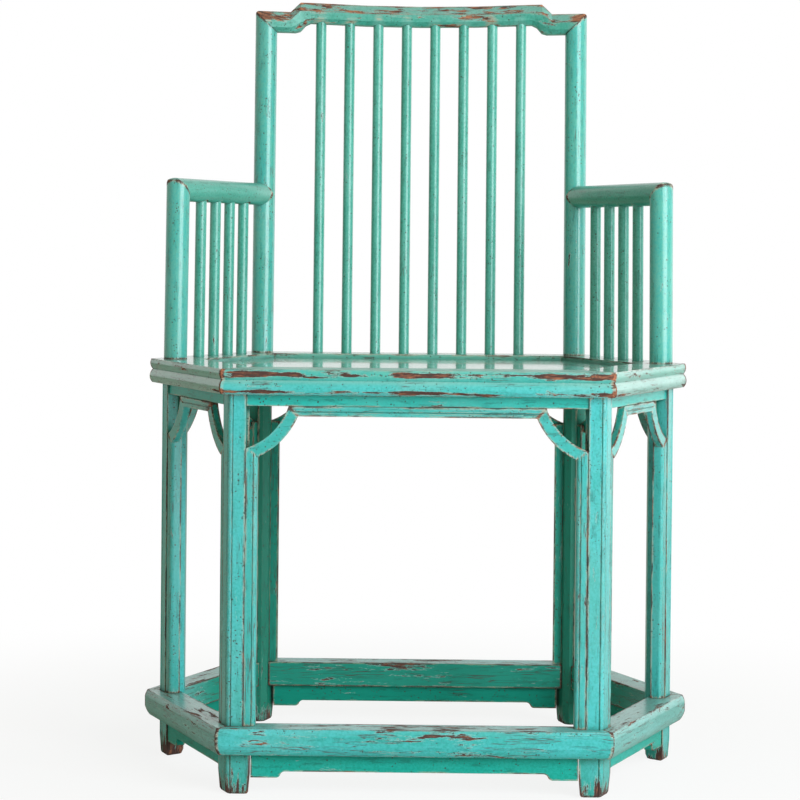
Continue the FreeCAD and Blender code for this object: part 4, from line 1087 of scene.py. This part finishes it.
LEG_NAMES = ("front_left_leg", "front_right_leg", "left_side_leg", "right_side_leg", "back_left_leg",
             "back_right_leg")
ARM_SPINDLE_COUNT = 4
BACK_SPINDLE_COUNT = 8
ARM_SPINDLES = tuple(f"{side}_arm_spindle_{number + 1}"
                     for side in SIDES for number in range(ARM_SPINDLE_COUNT))
BACK_SPINDLES = tuple(f"back_spindle_{number + 1}" for number in range(BACK_SPINDLE_COUNT))


@dataclass(frozen=True)
class Lamp:
    """A square soft lamp."""

    name: str
    place: Point
    target: Point
    size: float
    power: float
    colour: Colour = WHITE

    def hang(self) -> None:
        """Puts the lamp in its place, turned to its target."""
        light = bpy.data.lights.new(self.name, "AREA")
        light.size = self.size
        light.energy = self.power
        light.color = self.colour
        holder = bpy.data.objects.new(self.name, light)
        holder.location = self.place
        holder.rotation_mode = "QUATERNION"
        holder.rotation_quaternion = (Vector(self.target) - Vector(self.place)).to_track_quat("-Z", "Y")
        bpy.context.scene.collection.objects.link(holder)


@dataclass(frozen=True)
class Viewpoint:
    """Where the photograph was taken from, with angles in degrees and the lens in millimetres."""

    place: Point = (-0.0015, -3.0526, 0.6394)
    turn: float = 0.390
    dip: float = 3.556
    tilt: float = 0.54
    lens: float = 108.99

    def set_up(self) -> None:
        """Makes the camera of the scene."""
        data = bpy.data.cameras.new("viewpoint")
        data.lens = self.lens
        camera = bpy.data.objects.new("viewpoint", data)
        turn, dip = math.radians(self.turn), math.radians(self.dip)
        ahead = Vector((-math.sin(turn) * math.cos(dip), math.cos(turn) * math.cos(dip), -math.sin(dip)))
        camera.location = self.place
        camera.rotation_mode = "QUATERNION"
        level = ahead.to_track_quat("-Z", "Y")
        camera.rotation_quaternion = level @ Quaternion((0.0, 0.0, 1.0), math.radians(self.tilt))
        bpy.context.scene.collection.objects.link(camera)
        bpy.context.scene.camera = camera


@dataclass
class Studio:
    """White surroundings, soft lamps and the floor that takes the chair's shadow."""

    ambient: Colour = (0.31, 0.32, 0.22)
    floor_size: float = 16.0
    floor_white: float = 0.86
    near_glow: float = 0.86
    near: float = 0.35
    far: float = 1.2
    lamps: tuple[Lamp, ...] = (
        Lamp("key", place=(2.0, -2.5, 1.4), target=CHAIR_MIDDLE, size=2.3, power=135.0,
             colour=(0.95, 1.0, 1.08)),
        Lamp("back_panel", place=(2.7, 1.7, 0.8), target=CHAIR_MIDDLE, size=2.4, power=16.0),
    )

    def build(self) -> None:
        """Sets the light, the floor and the way that colours are shown."""
        bpy.context.scene.view_settings.view_transform = "Standard"
        self.surroundings()
        self.floor()
        for lamp in self.lamps:
            lamp.hang()

    def surroundings(self) -> None:
        """Lights the chair evenly with a warm tone, and shows white behind it."""
        world = bpy.data.worlds.new("surroundings")
        world.use_nodes = True
        world.node_tree.nodes.clear()
        sheet = NodeSheet(world.node_tree)
        path = sheet.node("ShaderNodeLightPath").outputs
        seen = sheet.math("MAXIMUM", path["Is Camera Ray"], path["Is Glossy Ray"])
        seen = sheet.math("MAXIMUM", seen, path["Is Transmission Ray"])
        tone = sheet.blend(seen, solid(self.ambient), solid(WHITE))
        glow = sheet.node("ShaderNodeBackground", {"Color": tone, "Strength": 1.0})
        sheet.node("ShaderNodeOutputWorld", {"Surface": glow.outputs["Background"]})
        bpy.context.scene.world = world

    def floor(self) -> None:
        """Lays a pale floor that runs into the white surroundings."""
        half = self.floor_size / 2
        mesh = bpy.data.meshes.new("floor")
        corners = [(-half, -half, 0.0), (half, -half, 0.0), (half, half, 0.0), (-half, half, 0.0)]
        mesh.from_pydata(corners, [], [(0, 1, 2, 3)])
        ground = bpy.data.objects.new("floor", mesh)
        bpy.context.scene.collection.objects.link(ground)
        mesh.materials.append(self.floor_material())

    def floor_material(self) -> bpy.types.Material:
        """Makes the finish of the floor, which glows for the camera, and fully so away from the chair.

        Returns:
            The material.
        """
        made = bpy.data.materials.new("floor_white")
        made.use_nodes = True
        made.node_tree.nodes.clear()
        sheet = NodeSheet(made.node_tree)
        matt = sheet.node("ShaderNodeBsdfDiffuse", {"Color": solid((self.floor_white,) * 3)})
        glow = sheet.node("ShaderNodeEmission", {"Color": solid(WHITE), "Strength": 1.0})
        away = sheet.ease(sheet.vector("LENGTH", sheet.place()), self.near, self.far)
        share = sheet.math("ADD", sheet.math("MULTIPLY", away, 1.0 - self.near_glow), self.near_glow)
        path = sheet.node("ShaderNodeLightPath").outputs
        share = sheet.math("MULTIPLY", path["Is Camera Ray"], share)
        mixed = sheet.node("ShaderNodeMixShader", {0: share, 1: matt.outputs[0], 2: glow.outputs[0]})
        sheet.node("ShaderNodeOutputMaterial", {"Surface": mixed.outputs[0]})
        return made


def chair() -> list[SubAssembly]:
    """Lists the sub-assemblies of the chair from the floor up.

    Returns:
        The sub-assemblies.
    """
    battens = {f"{side}_seat_batten": Grain.DEEP for side in SIDES}
    arms = {"left_arm_rail": Grain.LEANING_RIGHT, "right_arm_rail": Grain.LEANING_LEFT}
    return [
        Uprights("legs", LEG_PAINT, LEG_NAMES),
        RingOfRails("skirts", SKIRT_PAINT, "skirt"),
        RingOfRails("base ring", BASE_PAINT, "base_rail", LONG_EDGES),
        # The slanted side rails of the base ring wear the paler copy, a painted reflection.
        RingOfRails("base ring", BASE_SIDE_SHEEN_PAINT, "base_rail", SIDE_EDGES),
        RingOfRails("liners", LINER_PAINT, "liner"),
        RingOfRails("aprons", APRON_PAINT, "apron"),
        Singles("seat frame", SEAT_PAINT, {"front_seat_rail": Grain.ACROSS}),
        Singles("seat frame", SEAT_BACK_PAINT, {"back_seat_rail": Grain.ACROSS}),
        # The side seat rails wear the paler copy, a painted reflection.
        RingOfRails("seat frame", SEAT_SIDE_SHEEN_PAINT, "seat_rail", SIDE_EDGES),
        Singles("seat panel", PANEL_PAINT, {"seat_panel": Grain.ACROSS}),
        Singles("battens", BATTEN_WOOD, battens),
        Singles("arms", ARM_PAINT, arms),
        Uprights("arm spindles", ROUND_PAINT, ARM_SPINDLES),
        Uprights("back spindles", ROUND_PAINT, BACK_SPINDLES),
        Singles("crest", CREST_PAINT, {"crest_rail": Grain.ACROSS}),
    ]


def main() -> None:
    """Builds the studio and the camera, and dresses the chair."""
    logging.basicConfig(level=logging.INFO, format="%(name)s: %(message)s")
    Studio().build()
    Viewpoint().set_up()
    for assembly in chair():
        assembly.dress()


if __name__ == "__main__":
    main()
